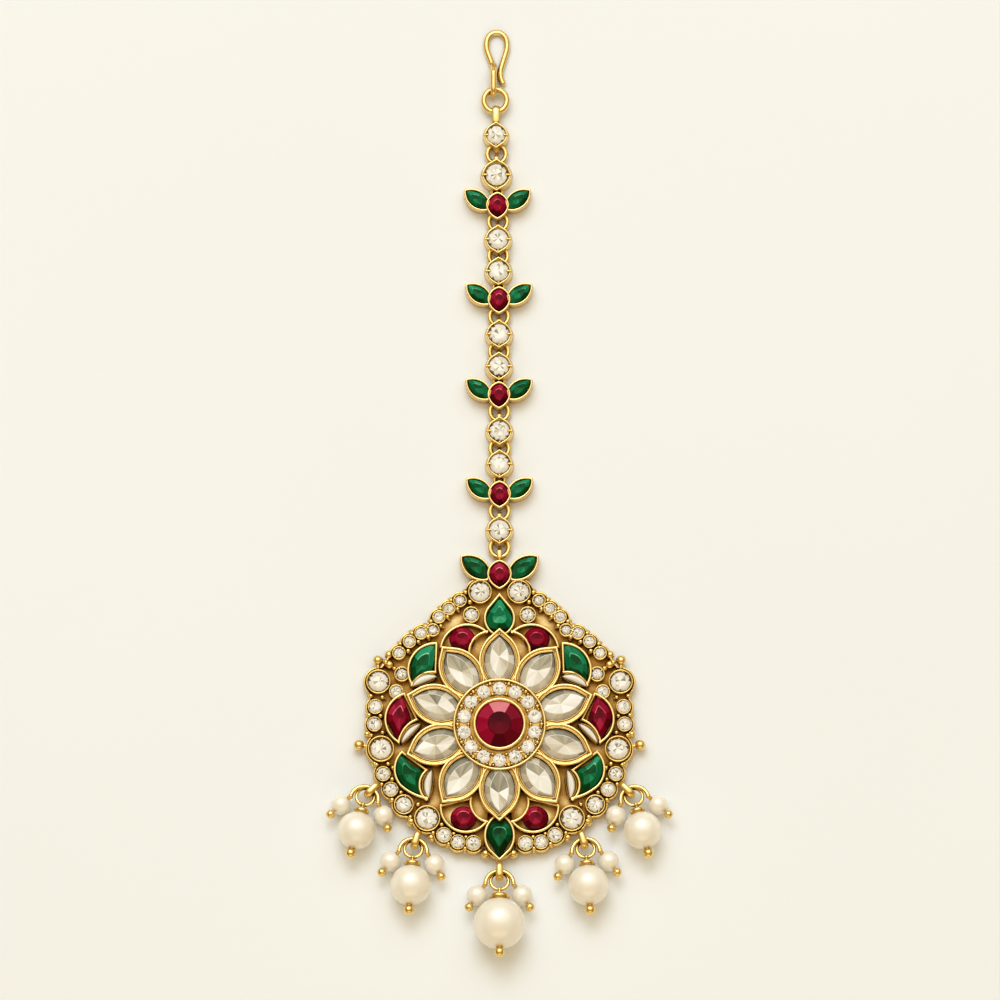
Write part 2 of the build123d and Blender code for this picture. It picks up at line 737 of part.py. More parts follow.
with BuildPart() as bails:
    for row, side in drop_sides():
        x, y, bail_turn = row[:3]
        inward = (-sin(radians(bail_turn)), cos(radians(bail_turn)))
        reach = BAIL_LENGTH / 2 + BAIL_START
        middle = (side * (x + reach * inward[0]), y + reach * inward[1], BAIL_Z)
        add_strap_loop(middle, side * bail_turn, BAIL_LENGTH, BAIL_HEIGHT, BAIL_WIDTH, BAIL_STRAP)
        stem_places = [
            (side * (x + run * inward[0]), y + run * inward[1], BAIL_STEM_Z)
            for run in (BAIL_STEM_FROM, BAIL_STEM_TO)
        ]
        pin_line(*stem_places, BAIL_STEM_R)

with BuildPart() as pendant_setting:
    with BuildSketch() as plate:
        border_path = [row[:2] for row in BORDER]
        border_path.insert(0, (0, CREST[1] - PLATE_CREST_INSET))
        border_path.append((0, POINTED_CELLS[1][0] + PLATE_TIP_INSET))
        for side in SIDES:
            with BuildLine():
                Polyline(*[(side * x, y) for x, y in border_path], close=True)
            make_face()
            for row, after in zip(BORDER, BORDER[1:]):
                start = (side * row[0], row[1])
                end = (side * after[0], after[1])
                add_capsule(start, end, min(row[2], after[2]) + FLANGE)
            for x, y, rim_r, stone_r in BORDER:
                with Locations((side * x, y)):
                    Circle(rim_r + SCALLOP)
    extrude(amount=PLATE_TOP)
    places = [(side * x, y, rim_r, stone_r) for side in SIDES for x, y, rim_r, stone_r in SMALL_BEZELS]
    add_layer([disc(x, y, rim_r) for x, y, rim_r, stone_r in places], 0, BORDER_TOP)
    seats = [disc(x, y, stone_r + STONE_GAP) for x, y, rim_r, stone_r in places]
    add_layer(seats, BORDER_FLOOR, BORDER_TOP, Mode.SUBTRACT)
    steps = [disc(x, y, stone_r + STEP_SHARE * (rim_r - stone_r)) for x, y, rim_r, stone_r in places]
    add_layer(steps, BORDER_TOP - RIM_STEP, BORDER_TOP, Mode.SUBTRACT)
    outlines = list(cell_lines.values()) + pointed_lines
    add_layer([outline_face(line) for line in outlines], 0, CELL_TOP)
    add_layer([outline_face(line, -WALL) for line in outlines], CELL_FLOOR, CELL_TOP, Mode.SUBTRACT)
    add_layer([outline_face(line) for line in crescent_lines], 0, CELL_TOP)
    crescent_wells = [outline_face(line, -CRESCENT_RIM) for line in crescent_lines]
    add_layer(crescent_wells, CELL_TOP - CRESCENT_DEPTH, CELL_TOP, Mode.SUBTRACT)
    add_layer([outline_face(line) for line in petal_lines], 0, PETAL_TOP)
    add_layer([outline_face(line, -WALL) for line in petal_lines], PETAL_LEDGE, PETAL_TOP, Mode.SUBTRACT)
    petal_wells = [outline_face(line, -WALL - LEDGE) for line in petal_lines]
    add_layer(petal_wells, PETAL_FLOOR, PETAL_TOP, Mode.SUBTRACT)
    add_layer([disc(0, 0, HALO_OUTER)], 0, HALO_TOP)
    add_layer([disc(0, 0, HALO_OUTER - WALL)], HALO_BED, HALO_TOP, Mode.SUBTRACT)
    halo_wells = [disc(x, y, HALO_STONE_R + STONE_GAP) for x, y in halo_places]
    add_layer(halo_wells, HALO_FLOOR, HALO_TOP, Mode.SUBTRACT)
    add_layer([disc(0, 0, CENTRE_BEZEL_R)], HALO_FLOOR, CENTRE_TOP)
    add_layer([disc(0, 0, CENTRE_RUBY_R + STONE_GAP)], CENTRE_FLOOR, CENTRE_TOP, Mode.SUBTRACT)
    add_leaf_cluster(CREST, CREST_RUBY_SCALE, CREST_LEAF_SCALE)
    free_rings(CREST[1])
    add(bead_work.part)
    add(bails.part)
write(pendant_setting, "pendant_setting")

# ---------------------------------------------------------------- pendant stones
with BuildPart() as centre_ruby:
    girdle = round_points(CENTRE_RUBY_R, CENTRE_SIDES)
    add_faceted(girdle, CENTRE_FLOOR, CENTRE_STONE_TOP, CENTRE_TABLE_R / CENTRE_RUBY_R)
write(centre_ruby, "centre_ruby")

for number, line in enumerate(petal_lines, start=1):
    stone_face = outline_face(line, -WALL - LEDGE - STONE_GAP)
    with BuildPart() as petal_stone:
        add_layer([stone_face], PETAL_FLOOR, PETAL_FLOOR + PETAL_GIRDLE)
        crown_height = PETAL_STONE_TOP - PETAL_FLOOR - PETAL_GIRDLE
        crown_base = stone_face.moved(Location((0, 0, PETAL_FLOOR + PETAL_GIRDLE)))
        extrude(crown_base, amount=crown_height, taper=PETAL_TAPER)
        add_layer([disc(0, 0, HALO_OUTER + STONE_GAP)], 0, HALO_TOP, Mode.SUBTRACT)
    write(petal_stone, f"petal_stone_{number}")

with BuildPart() as halo_stones:
    places = [(x, y, HALO_STONE_R) for x, y in halo_places]
    add_round_stones(places, HALO_FLOOR, HALO_TOP - STONE_EDGE, HALO_STONE_TOP)
write(halo_stones, "halo_stones")

petal_room = [outline_face(line, STONE_GAP) for line in petal_lines]
crescent_room = [outline_face(line, STONE_GAP) for line in crescent_lines]
with BuildPart() as border_stones:
    places = [(side * x, y, stone_r) for side in SIDES for x, y, rim_r, stone_r in SMALL_BEZELS]
    add_round_stones(places, BORDER_FLOOR, BORDER_TOP - STONE_EDGE, BORDER_STONE_TOP)
    covered = [outline_face(line) for line in cell_lines.values()] + petal_room
    add_layer(covered, 0, PETAL_TOP, Mode.SUBTRACT)
write(border_stones, "border_stones")

with BuildPart() as crescent_stones:
    stone_faces = [outline_face(line, -CRESCENT_RIM - STONE_GAP) for line in crescent_lines]
    add_layer(stone_faces, CELL_TOP - CRESCENT_DEPTH, CELL_TOP)
    add_layer(petal_room, 0, PETAL_TOP, Mode.SUBTRACT)
write(crescent_stones, "crescent_stones")


def write_cell_stone(girdle, line, name):
    """A coloured stone, trimmed where its cell's wall, a petal or a crescent stands."""
    with BuildPart() as cell_stone:
        add_faceted(girdle, CELL_FLOOR, CELL_STONE_TOP)
        add_layer([outline_face(line, -WALL - STONE_GAP)], 0, PETAL_TOP, Mode.INTERSECT)
        add_layer(petal_room + crescent_room, 0, PETAL_TOP, Mode.SUBTRACT)
    write(cell_stone, name)


ruby_kinds = [kind for kind in CELL_STONES if "ruby" in kind]
emerald_kinds = [kind for kind in CELL_STONES if "emerald" in kind]
for colour, kinds in (("ruby", ruby_kinds), ("emerald", emerald_kinds)):
    for number, (kind, side) in enumerate([(kind, side) for kind in kinds for side in SIDES], start=1):
        girdle = [(side * x, y) for x, y in CELL_STONES[kind]]
        write_cell_stone(girdle, cell_lines[kind, side], f"{colour}_{number}")
for number, (girdle, line) in enumerate(zip((TOP_EMERALD, BOTTOM_EMERALD), pointed_lines), start=5):
    write_cell_stone(mirrored(girdle), line, f"emerald_{number}")


# ---------------------------------------------------------------- drops
def drop_plane(row, side, along, height):
    """A plane tilted as a drop's rings are, at a place along the drop."""
    turn = radians(side * row[3])
    rise = radians(DROP_TILT)
    across_dir = (cos(turn), sin(turn), 0)
    normal = (-sin(rise) * sin(turn), sin(rise) * cos(turn), cos(rise))
    origin = drop_point(row, side, 0, along, height - along * tan(rise))
    return Plane(origin=origin, x_dir=across_dir, z_dir=normal)


with BuildPart() as drop_rings:
    for row, side in drop_sides():
        with Locations(drop_plane(row, side, 0, DROP_WIRE_Z - ARC_LIFT).location):
            Torus(DROP_RING_R, DROP_RING_WIRE)
write(drop_rings, "drop_rings")


def side_places(row, side, hand):
    """Where a small pearl and its end ball lie."""
    small_r = row[6]
    pearl = drop_point(row, side, hand * SIDE_PEARL[0] * small_r, SIDE_PEARL[1] * small_r, small_r)
    ball_z = small_r * SIDE_BALL_LIFT
    ball = drop_point(row, side, hand * SIDE_BALL[0] * small_r, SIDE_BALL[1] * small_r, ball_z)
    return pearl, ball


ARC_Z = DROP_WIRE_Z + ARC_LIFT
with BuildPart() as side_wires:
    for row, side in drop_sides():
        half_ring = drop_plane(row, side, -ARC_SHIFT, ARC_Z)
        with BuildSketch(Plane(origin=half_ring.origin, x_dir=half_ring.x_dir, z_dir=-half_ring.y_dir)):
            with Locations((ARC_R, 0)):
                Circle(ARC_WIRE)
        revolve(axis=Axis(half_ring.origin, half_ring.z_dir), revolution_arc=180)
        for hand in (1, -1):
            knot = half_ring.from_local_coords((side * hand * ARC_R, 0, 0))
            pearl, ball = side_places(row, side, hand)
            with Locations(knot):
                Sphere(KNOT_R)
            pin_line(tuple(knot), pearl, PIN_R)
            pin_line(pearl, ball, PIN_R)
            with Locations(ball):
                Sphere(SIDE_BALL_R * row[6])
write(side_wires, "side_wires")

with BuildPart() as small_pearls:
    for row, side in drop_sides():
        for hand in (1, -1):
            pearl, ball = side_places(row, side, hand)
            half_ring = drop_plane(row, side, -ARC_SHIFT, ARC_Z)
            knot = half_ring.from_local_coords((side * hand * ARC_R, 0, 0))
            with Locations(pearl):
                Sphere(row[6])
            pin_line(tuple(knot), pearl, PIN_R + STONE_GAP, mode=Mode.SUBTRACT)
            pin_line(pearl, ball, PIN_R + STONE_GAP, mode=Mode.SUBTRACT)
write(small_pearls, "small_pearls")

for number, (row, side) in enumerate(drop_sides(), start=1):
    pearl_r = row[4]
    centre = drop_point(row, side, 0, -row[5], pearl_r)
    knob = drop_point(row, side, 0, -DROP_RING_R * cos(radians(DROP_TILT)), DROP_WIRE_Z)
    lift = DROP_RING_R * sin(radians(DROP_TILT)) + DROP_RING_WIRE + PIN_R - ARC_LIFT
    knob = (knob[0], knob[1], knob[2] + lift)
    reach = sqrt(sum((a - b) ** 2 for a, b in zip(centre, knob)))
    axis = tuple((a - b) / reach for a, b in zip(centre, knob))
    along = [tuple(c + a * step for c, a in zip(centre, axis)) for step in (-pearl_r, pearl_r)]
    with BuildPart() as drop_pin:
        with BuildSketch(Plane(origin=along[0], z_dir=axis)):
            Circle(CAP_SHARE * pearl_r)
        extrude(amount=-CAP_HEIGHT)
        end_ball = tuple(c + a * (pearl_r + END_BALL_REACH) for c, a in zip(centre, axis))
        with Locations(end_ball):
            Sphere(END_BALL_R)
        with BuildSketch(Plane(origin=along[1], z_dir=axis)):
            Circle(COLLAR_R)
        extrude(amount=COLLAR_HEIGHT)
        with Locations(centre):
            Sphere(pearl_r + STONE_GAP, mode=Mode.SUBTRACT)
        pin_line(knob, end_ball, PIN_R)
        with Locations(knob):
            Sphere(PIN_KNOB_R)
    write(drop_pin, f"drop_pin_{number}")
    with BuildPart() as drop_pearl:
        with Locations(centre):
            Sphere(pearl_r)
        start = tuple(c - a * 2 * pearl_r for c, a in zip(centre, axis))
        with BuildSketch(Plane(origin=start, z_dir=axis)):
            Circle(PIN_R + STONE_GAP)
        extrude(amount=4 * pearl_r, mode=Mode.SUBTRACT)
    write(drop_pearl, f"drop_pearl_{number}")
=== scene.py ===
"""Looks of a maang tikka: gold wirework, set stones and pearls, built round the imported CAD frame.

Sizes are millimetres in the CAD's own frame and become metres when a piece is made: +Z rises through
the flower, +Y runs along the chain to the hook, and the origin is the centre of the pendant's back.
"""

import random
from math import acos, atan2, cos, dist, hypot, pi, radians, sin, sqrt, tan

import bpy
from mathutils import Matrix, Vector


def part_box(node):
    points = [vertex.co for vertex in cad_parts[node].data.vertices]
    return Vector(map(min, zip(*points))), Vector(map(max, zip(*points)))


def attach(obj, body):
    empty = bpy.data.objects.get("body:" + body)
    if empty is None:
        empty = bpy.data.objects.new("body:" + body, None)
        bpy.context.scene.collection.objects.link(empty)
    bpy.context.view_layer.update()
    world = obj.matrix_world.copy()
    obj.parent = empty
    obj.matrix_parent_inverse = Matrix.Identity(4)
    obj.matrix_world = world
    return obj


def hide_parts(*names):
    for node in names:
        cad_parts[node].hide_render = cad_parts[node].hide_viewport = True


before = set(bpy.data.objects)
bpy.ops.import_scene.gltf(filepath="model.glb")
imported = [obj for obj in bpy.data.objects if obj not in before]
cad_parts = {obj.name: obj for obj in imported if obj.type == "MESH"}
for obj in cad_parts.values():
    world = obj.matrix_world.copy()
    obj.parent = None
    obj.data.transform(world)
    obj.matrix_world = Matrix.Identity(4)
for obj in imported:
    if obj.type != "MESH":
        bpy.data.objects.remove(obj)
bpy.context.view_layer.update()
MM = 0.001
SIDES = (1, -1)
draw = random.Random(7)

# ---- sizes, most of them the CAD's own
PLATE_TOP = 0.8
BORDER_TOP = 2.4
CELL_TOP = 2.6
LINK_TOP = 2.6
PETAL_TOP = 3.4
HALO_TOP = 3.8
CENTRE_TOP = 4.3
WALL = 0.42
LEDGE = 0.45
RING_Z = 0.95

PETAL_COUNT = 10
PETAL_HEEL = 5.3
PETAL_BELLY = 10.5
PETAL_HALF_WIDTH = 3.34
PETAL_SHOULDER = 14.1
PETAL_SHOULDER_HALF = 1.8
PETAL_TIP = 15.7
HALO_OUTER = 7.45
HALO_COUNT = 14
HALO_PITCH = 5.8
HALO_STONE_R = 1.08
CENTRE_BEZEL_R = 4.28
CENTRE_RUBY_R = 3.66

# round links: x, y, rim radius, stone radius
ROUND_LINKS = [
    (-0.56, 95.98, 1.84, 1.44), (-0.48, 89.48, 2.28, 1.68), (-0.24, 79.00, 2.00, 1.54),
    (-0.16, 73.80, 2.00, 1.54), (-0.08, 63.57, 2.00, 1.54), (-0.08, 58.33, 2.00, 1.54),
    (0.00, 47.81, 2.00, 1.54), (0.00, 42.45, 2.00, 1.54), (0.00, 31.72, 2.00, 1.54),
]
LEAF_LINKS = [(-0.32, 84.61), (-0.08, 69.25), (-0.08, 53.78), (0.00, 37.65)]

# the peaks of a round link, and how far leaf stones are stretched from their tips
PEAK = 0.36
LEAF_STRETCH = 1.1

# crest: its centre, and its ruby's and leaves' size against those of a leaf link
CREST = (0.0, 24.66)
CREST_RUBY_SCALE = 1.07
CREST_LEAF_SCALE = 1.17

# how much thicker the visible chain wire is than the CAD's
WIRE_SWELL = 1.35

# chain rings: x, y, mean radius, wire radius
CHAIN_RINGS = [
    (-0.48, 93.05, 1.6, 0.3), (-0.40, 86.85, 0.85, 0.22), (-0.24, 82.00, 1.6, 0.3),
    (-0.20, 76.46, 1.6, 0.3), (-0.12, 71.45, 0.85, 0.22), (-0.08, 66.60, 1.6, 0.3),
    (-0.08, 60.90, 1.6, 0.3), (-0.08, 56.05, 0.85, 0.22), (-0.04, 51.13, 1.6, 0.3),
    (0.00, 45.13, 1.6, 0.3), (0.00, 40.00, 0.85, 0.22), (0.00, 34.95, 1.6, 0.3),
    (0.00, 29.05, 1.6, 0.3),
]

# border bezels of the right half: x, y, rim radius, stone radius
BORDER = [
    (3.12, 21.71, 1.92, 1.54), (6.32, 20.29, 1.12, 0.80), (8.08, 18.99, 1.10, 0.82),
    (9.68, 17.61, 1.10, 0.86), (10.64, 15.50, 1.10, 0.78), (12.56, 15.01, 1.10, 0.88),
    (14.40, 13.63, 1.10, 0.88), (16.08, 11.76, 1.12, 0.84), (19.36, 7.13, 1.98, 1.56),
    (19.84, 3.07, 1.22, 1.04), (20.00, 0.23, 1.22, 1.08), (18.93, -3.75, 2.14, 1.62),
    (18.59, -7.81, 1.22, 1.08), (17.36, -10.33, 1.22, 1.08), (15.28, -12.77, 1.62, 1.22),
    (11.55, -15.01, 2.12, 1.64), (8.88, -17.72, 1.26, 1.12), (6.64, -18.86, 1.20, 1.06),
    (4.16, -19.02, 1.26, 1.10),
]
INNER_BEZELS = [(4.51, 17.97, 1.36, 1.04), (15.60, 8.35, 1.25, 0.90), (16.50, 5.50, 1.20, 0.95)]

# gold beads: x, y, z, radius
BEADS = [
    (17.68, 11.57, 1.5, 0.64), (17.60, 9.95, 1.5, 0.72), (21.15, -1.26, 1.4, 0.56),
    (19.92, -6.10, 1.6, 0.48), (17.00, -6.78, 1.6, 0.48), (14.10, -15.40, 1.3, 0.72),
    (10.88, -18.00, 1.3, 0.62), (2.20, -20.60, 1.3, 0.72),
]

# how much larger the visible beads are than the CAD's
BEAD_SWELL = 1.12

# balls on stems: x, y, radius, root x and y
KNOBS = [(19.44, 10.68, 0.83, 19.38, 8.95), (22.48, -3.05, 0.88, 20.70, -3.30)]
KNOB_Z = 1.5

# cell walls of the right half: corner and via point of each side
CELLS = {
    "upper_ruby": [
        ((1.68, 14.99), (5.68, 16.53)), ((9.60, 12.55), None), ((4.56, 11.25), (4.16, 13.53)),
    ],
    "upper_emerald": [
        ((9.84, 13.53), (14.22, 11.17)), ((13.92, 6.14), (12.32, 8.05)), ((10.00, 8.33), None),
    ],
    "side_ruby": [
        ((15.12, 5.40), (18.45, 1.34)), ((15.92, -3.04), (14.96, -0.61)), ((12.88, 0.85), None),
    ],
    "lower_emerald": [
        ((15.60, -4.02), (16.96, -6.94)), ((15.92, -9.87), (14.00, -11.20)),
        ((11.28, -12.06), (12.56, -9.71)), ((11.28, -7.27), None),
    ],
    "lower_ruby": [
        ((1.68, -15.39), (4.08, -13.77)), ((4.24, -11.49), None), ((9.60, -12.79), (6.00, -17.42)),
    ],
}

# their stones: how far each outline is enlarged, and the outline
CELL_STONES = {
    "upper_emerald": (1.18, [
        (10.56, 12.59), (12.35, 12.2), (13.45, 11.0), (13.95, 9.45), (13.85, 7.9), (13.6, 7.5),
        (12.6, 8.35), (11.3, 8.75), (10.75, 9.6),
    ]),
    "side_ruby": (1.28, [
        (15.7, 3.95), (16.7, 3.15), (17.4, 2.15), (17.55, 1.02), (17.0, -0.3), (16.05, -1.9),
        (15.5, -0.75), (14.65, 0.35), (14.6, 1.4), (15.1, 2.7),
    ]),
    "lower_emerald": (1.18, [
        (15.54, -5.2), (16.1, -5.95), (16.2, -7.6), (15.6, -9.0), (14.5, -10.1), (12.9, -10.75),
        (12.9, -9.2), (12.6, -8.0), (12.9, -7.2), (14.2, -6.5),
    ]),
}

# the nearly round ones: centre and half sizes
ROUND_RUBIES = {"upper_ruby": (5.95, 14.0, 2.08, 1.9), "lower_ruby": (5.75, -15.0, 2.1, 1.95)}

# pointed cells on the centre line: tip y, shoulder, side via and foot
POINTED_CELLS = [
    (21.57, (1.70, 19.50), (2.56, 17.30), (0.90, 14.60)),
    (-22.05, (1.75, -20.30), (2.53, -18.00), (0.90, -14.60)),
]

# their stones: brightness and the right half of the outline
POINTED_STONES = [
    (0.58, [(0.0, 20.4), (0.95, 19.2), (1.72, 18.1), (2.05, 17.2), (1.8, 16.3), (1.1, 15.7)]),
    (0.17, [(0.0, -20.95), (1.09, -19.4), (1.78, -18.1), (1.85, -17.1), (1.5, -16.3), (0.8, -15.8)]),
]

# narrow white cells of the right half: one end, outer via, other end, inner via
CRESCENTS = [
    ((10.00, 7.84), (11.92, 8.57), (13.90, 6.24), (11.76, 6.58)),
    ((12.56, 0.21), (14.56, -0.26), (15.60, -2.90), (13.76, -1.66)),
    ((10.80, -7.27), (12.44, -9.38), (11.28, -11.80), (10.48, -9.71)),
]

# ruby bezel between the leaves: half width, upper reach, lower reach; its sides' via points as shares
RUBY_BEZEL = (1.89, 2.10, 2.42)
RUBY_UPPER_VIA = (0.82, 0.48)
RUBY_LOWER_VIA = (0.86, -0.42)

# right leaf from the ruby's centre: tip, upper via, upper root, lower root, lower via
LEAF_BEZEL = ((5.34, 2.47), (3.20, 2.50), (1.20, 0.60), (1.50, -0.95), (4.45, -0.15))
LEAF_STONE = [
    (4.85, 2.1), (4.0, 2.1), (2.95, 1.7), (2.25, 1.0), (2.2, -0.5), (3.1, -0.5), (4.1, 0.15),
    (4.65, 1.1),
]

# hook and its ring: wire radii, centreline and the radius of each bend
HOOK_WIRE = 0.5
HOOK_RING = (-0.67, 101.72, 1.45)
HOOK_RING_R = 1.84
HOOK_RING_WIRE = 0.49
HOOK_PATH = [
    (0.52, 104.75, 0.5), (-0.02, 106.2, 0.5), (1.3, 110.6, 0.5), (1.0, 112.4, 0.5),
    (-0.45, 113.23, 0.5), (-1.9, 112.4, 0.5), (-2.2, 110.6, 0.5), (-0.96, 107.2, 0.5),
    (-0.96, 102.65, 0.5), (-0.96, 102.65, 2.4), (-0.96, 106.3, 2.4), (-0.96, 107.6, 0.9),
]
HOOK_BENDS = [3.0, 3.5, 1.6, 1.5, 1.6, 3.5, 4.0, 0.9, 0.9, 0.5]

# drops of the middle and the right side: ring centre, bail turn, drop turn, small pearl radius
DROPS = [(0.00, -25.17, 0, 0, 1.70), (13.76, -19.97, 16, 4, 1.66), (21.44, -11.52, 44, 14, 1.64)]
DROP_RING_R = 1.44
DROP_RING_WIRE = 0.28
DROP_WIRE_Z = 2.3
DROP_TILT = 12

# half ring of a drop: radius, wire, shift down the drop, lift above DROP_WIRE_Z; the ring lies as far below
ARC_R = 2.24
ARC_WIRE = 0.35
ARC_SHIFT = 0.56
ARC_LIFT = 0.34
BAIL_LENGTH = 3.3
BAIL_WIDTH = 1.3
BAIL_HEIGHT = 2.2
BAIL_THICK = 0.34
BAIL_Z = 2.0

# small pearl and its end ball: across, along, height and the ball's radius, in small pearl radii
SIDE_PEARL = (2.12, -1.30, 1.0)
SIDE_BALL = (2.86, -2.52, 1.50)
SIDE_BALL_R = 0.44
END_BALL_R = 0.86
END_BALL_REACH = 0.8

# heights of the stones' foot, edge and top
CHAIN_CLEAR_Z = (1.75, 2.25, 2.75)
CHAIN_RUBY_Z = (1.7, 2.25, 2.72)
LEAF_STONE_Z = (1.7, 2.15, 2.62)
CELL_STONE_Z = (1.3, 2.2, 2.85)
HALO_STONE_Z = (3.2, 3.5, 3.9)


# ---- outlines
def arc_points(start, via, end, step=0.16):
    """Points along the arc through three places, without its end."""
    (x1, y1), (x2, y2), (x3, y3) = start, via, end
    d = 2 * (x1 * (y2 - y3) + x2 * (y3 - y1) + x3 * (y1 - y2))
    s1, s2, s3 = x1 * x1 + y1 * y1, x2 * x2 + y2 * y2, x3 * x3 + y3 * y3
    cx = (s1 * (y2 - y3) + s2 * (y3 - y1) + s3 * (y1 - y2)) / d
    cy = (s1 * (x3 - x2) + s2 * (x1 - x3) + s3 * (x2 - x1)) / d
    radius = hypot(x1 - cx, y1 - cy)
    first, middle, last = (atan2(y - cy, x - cx) for x, y in (start, via, end))
    forward = (last - first) % (2 * pi)
    sweep = forward if (middle - first) % (2 * pi) <= forward else forward - 2 * pi
    count = max(3, round(abs(sweep) * radius / step))
    turns = [first + sweep * k / count for k in range(count)]
    return [(cx + radius * cos(a), cy + radius * sin(a)) for a in turns]


def between(first, last, share):
    """The place a share of the way from one point to another."""
    return tuple(a + share * (b - a) for a, b in zip(first, last))


def line_points(start, end, step=0.3):
    """Points along a straight side, without its end."""
    count = max(1, round(dist(start, end) / step))
    return [between(start, end, k / count) for k in range(count)]


def anticlockwise(points):
    """The same outline, running anticlockwise."""
    area = sum(a[0] * b[1] - b[0] * a[1] for a, b in zip(points, points[1:] + points[:1]))
    return points if area > 0 else points[::-1]


def sides_outline(sides, flip=1):
    """An outline of arcs and straight sides, mirrored across the centre line by flip -1."""
    points = []
    for (start, via), (end, _) in zip(sides, sides[1:] + sides[:1]):
        start, end = (flip * start[0], start[1]), (flip * end[0], end[1])
        points += arc_points(start, (flip * via[0], via[1]), end) if via else line_points(start, end)
    return anticlockwise(points)


def circle_outline(x, y, radius, count, start=0.0):
    """Points round a circle from a starting angle."""
    turns = [start + 2 * pi * k / count for k in range(count)]
    return [(x + radius * cos(turn), y + radius * sin(turn)) for turn in turns]


def petal_outline():
    """One petal along +X from the flower's centre."""
    heel, tip = (PETAL_HEEL, 0), (PETAL_TIP, 0)
    low, high = (PETAL_SHOULDER, -PETAL_SHOULDER_HALF), (PETAL_SHOULDER, PETAL_SHOULDER_HALF)
    sides = [
        (heel, (PETAL_BELLY, -PETAL_HALF_WIDTH)), (low, None), (tip, None),
        (high, (PETAL_BELLY, PETAL_HALF_WIDTH)),
    ]
    return sides_outline(sides)


def pointed_outline(tip_y, shoulder, via, foot):
    """A drop-shaped outline on the centre line."""
    left = [(-x, y) for x, y in (shoulder, via, foot)]
    sides = [((0, tip_y), None), (shoulder, via), (foot, None), (left[2], left[1]), (left[0], None)]
    return sides_outline(sides)


def ruby_outline(centre, scale):
    """The pointed oval of a ruby between leaves."""
    half, up, down = [scale * value for value in RUBY_BEZEL]
    x, y = centre
    corners = [
        ((x, y + up), 1, RUBY_UPPER_VIA, up), ((x + half, y), 1, RUBY_LOWER_VIA, down),
        ((x, y - down), -1, RUBY_LOWER_VIA, down), ((x - half, y), -1, RUBY_UPPER_VIA, up),
    ]
    sides = []
    for corner, side, via, reach in corners:
        sides.append((corner, (x + side * via[0] * half, y + via[1] * reach)))
    return sides_outline(sides)


def leaf_outline(centre, side, scale):
    """One leaf, side 1 to the right and -1 to the left."""
    tip, upper_via, upper_root, lower_root, lower_via = [
        (centre[0] + side * scale * x, centre[1] + scale * y) for x, y in LEAF_BEZEL
    ]
    return sides_outline([(upper_root, upper_via), (tip, lower_via), (lower_root, None)])


def inset(outline, distance):
    """The outline moved inward, with mitred corners."""
    moved = []
    for before, here, after in zip(outline[-1:] + outline[:-1], outline, outline[1:] + outline[:1]):
        first = Vector((before[1] - here[1], here[0] - before[0])).normalized()
        second = Vector((here[1] - after[1], after[0] - here[0])).normalized()
        middle = (first + second).normalized()
        reach = distance / max(0.35, middle.dot(first))
        moved.append((here[0] + middle.x * reach, here[1] + middle.y * reach))
    return moved


def turned(points, angle):
    """Points turned about the origin."""
    return [(x * cos(angle) - y * sin(angle), x * sin(angle) + y * cos(angle)) for x, y in points]


def raised(outline, z):
    """The outline at a height."""
    return [(x, y, z) for x, y in outline]


def centroid(points):
    """The mean place of an outline's points."""
    return sum(x for x, y in points) / len(points), sum(y for x, y in points) / len(points)


def spread(points, factor):
    """The outline enlarged about its middle."""
    cx, cy = centroid(points)
    return [(cx + factor * (x - cx), cy + factor * (y - cy)) for x, y in points]


def resampled(points, count):
    """The open line cut into equal lengths."""
    lengths = [0.0]
    for a, b in zip(points, points[1:]):
        lengths.append(lengths[-1] + dist(a, b))
    made = []
    for k in range(count + 1):
        want = lengths[-1] * k / count
        leg = max(i for i in range(len(lengths) - 1) if lengths[i] <= want + 1e-9)
        share = (want - lengths[leg]) / (lengths[leg + 1] - lengths[leg])
        made.append(between(points[leg], points[leg + 1], share))
    return made


def even_arc(first, via, last, count):
    """The whole arc through three places, cut into equal lengths."""
    return resampled(arc_points(first, via, last, 0.05) + [last], count)


def curve_value(a, b, c, d, t):
    """A smooth curve through four values, at a share t of the way from b to c."""
    return 0.5 * (2 * b + (c - a) * t + (2 * a - 5 * b + 4 * c - d) * t * t + (3 * b - a - 3 * c + d) * t**3)


def smoothed(points, steps=3):
    """A closed outline through the points with soft corners."""
    made = []
    count = len(points)
    for k in range(count):
        corners = [points[(k + shift) % count] for shift in (-1, 0, 1, 2)]
        for step in range(steps):
            made.append(tuple(curve_value(*values, step / steps) for values in zip(*corners)))
    return made


def half_lines(points, count):
    """An outline symmetric about +X, cut evenly on both sides between its outer and inner tips."""
    tip = max(range(len(points)), key=lambda k: points[k][0])
    around = points[tip:] + points[: tip + 1]
    heel = min(range(len(around)), key=lambda k: around[k][0])
    return resampled(around[: heel + 1], count)[:-1] + resampled(around[heel:], count)[:-1]


# ---- meshes
def band(count, level=0, close=True):
    """The faces between one ring of points and the next."""
    base = level * count
    edges = [(base + k, base + (k + 1) % count) for k in range(count if close else count - 1)]
    return [(a, b, b + count, a + count) for a, b in edges]


def fan(count):
    """The faces from a ring of points to the single point after it."""
    return [(k, (k + 1) % count, count) for k in range(count)]


def add_object(name, data):
    """A new object in the scene."""
    made = bpy.data.objects.new(name, data)
    bpy.context.scene.collection.objects.link(made)
    return made


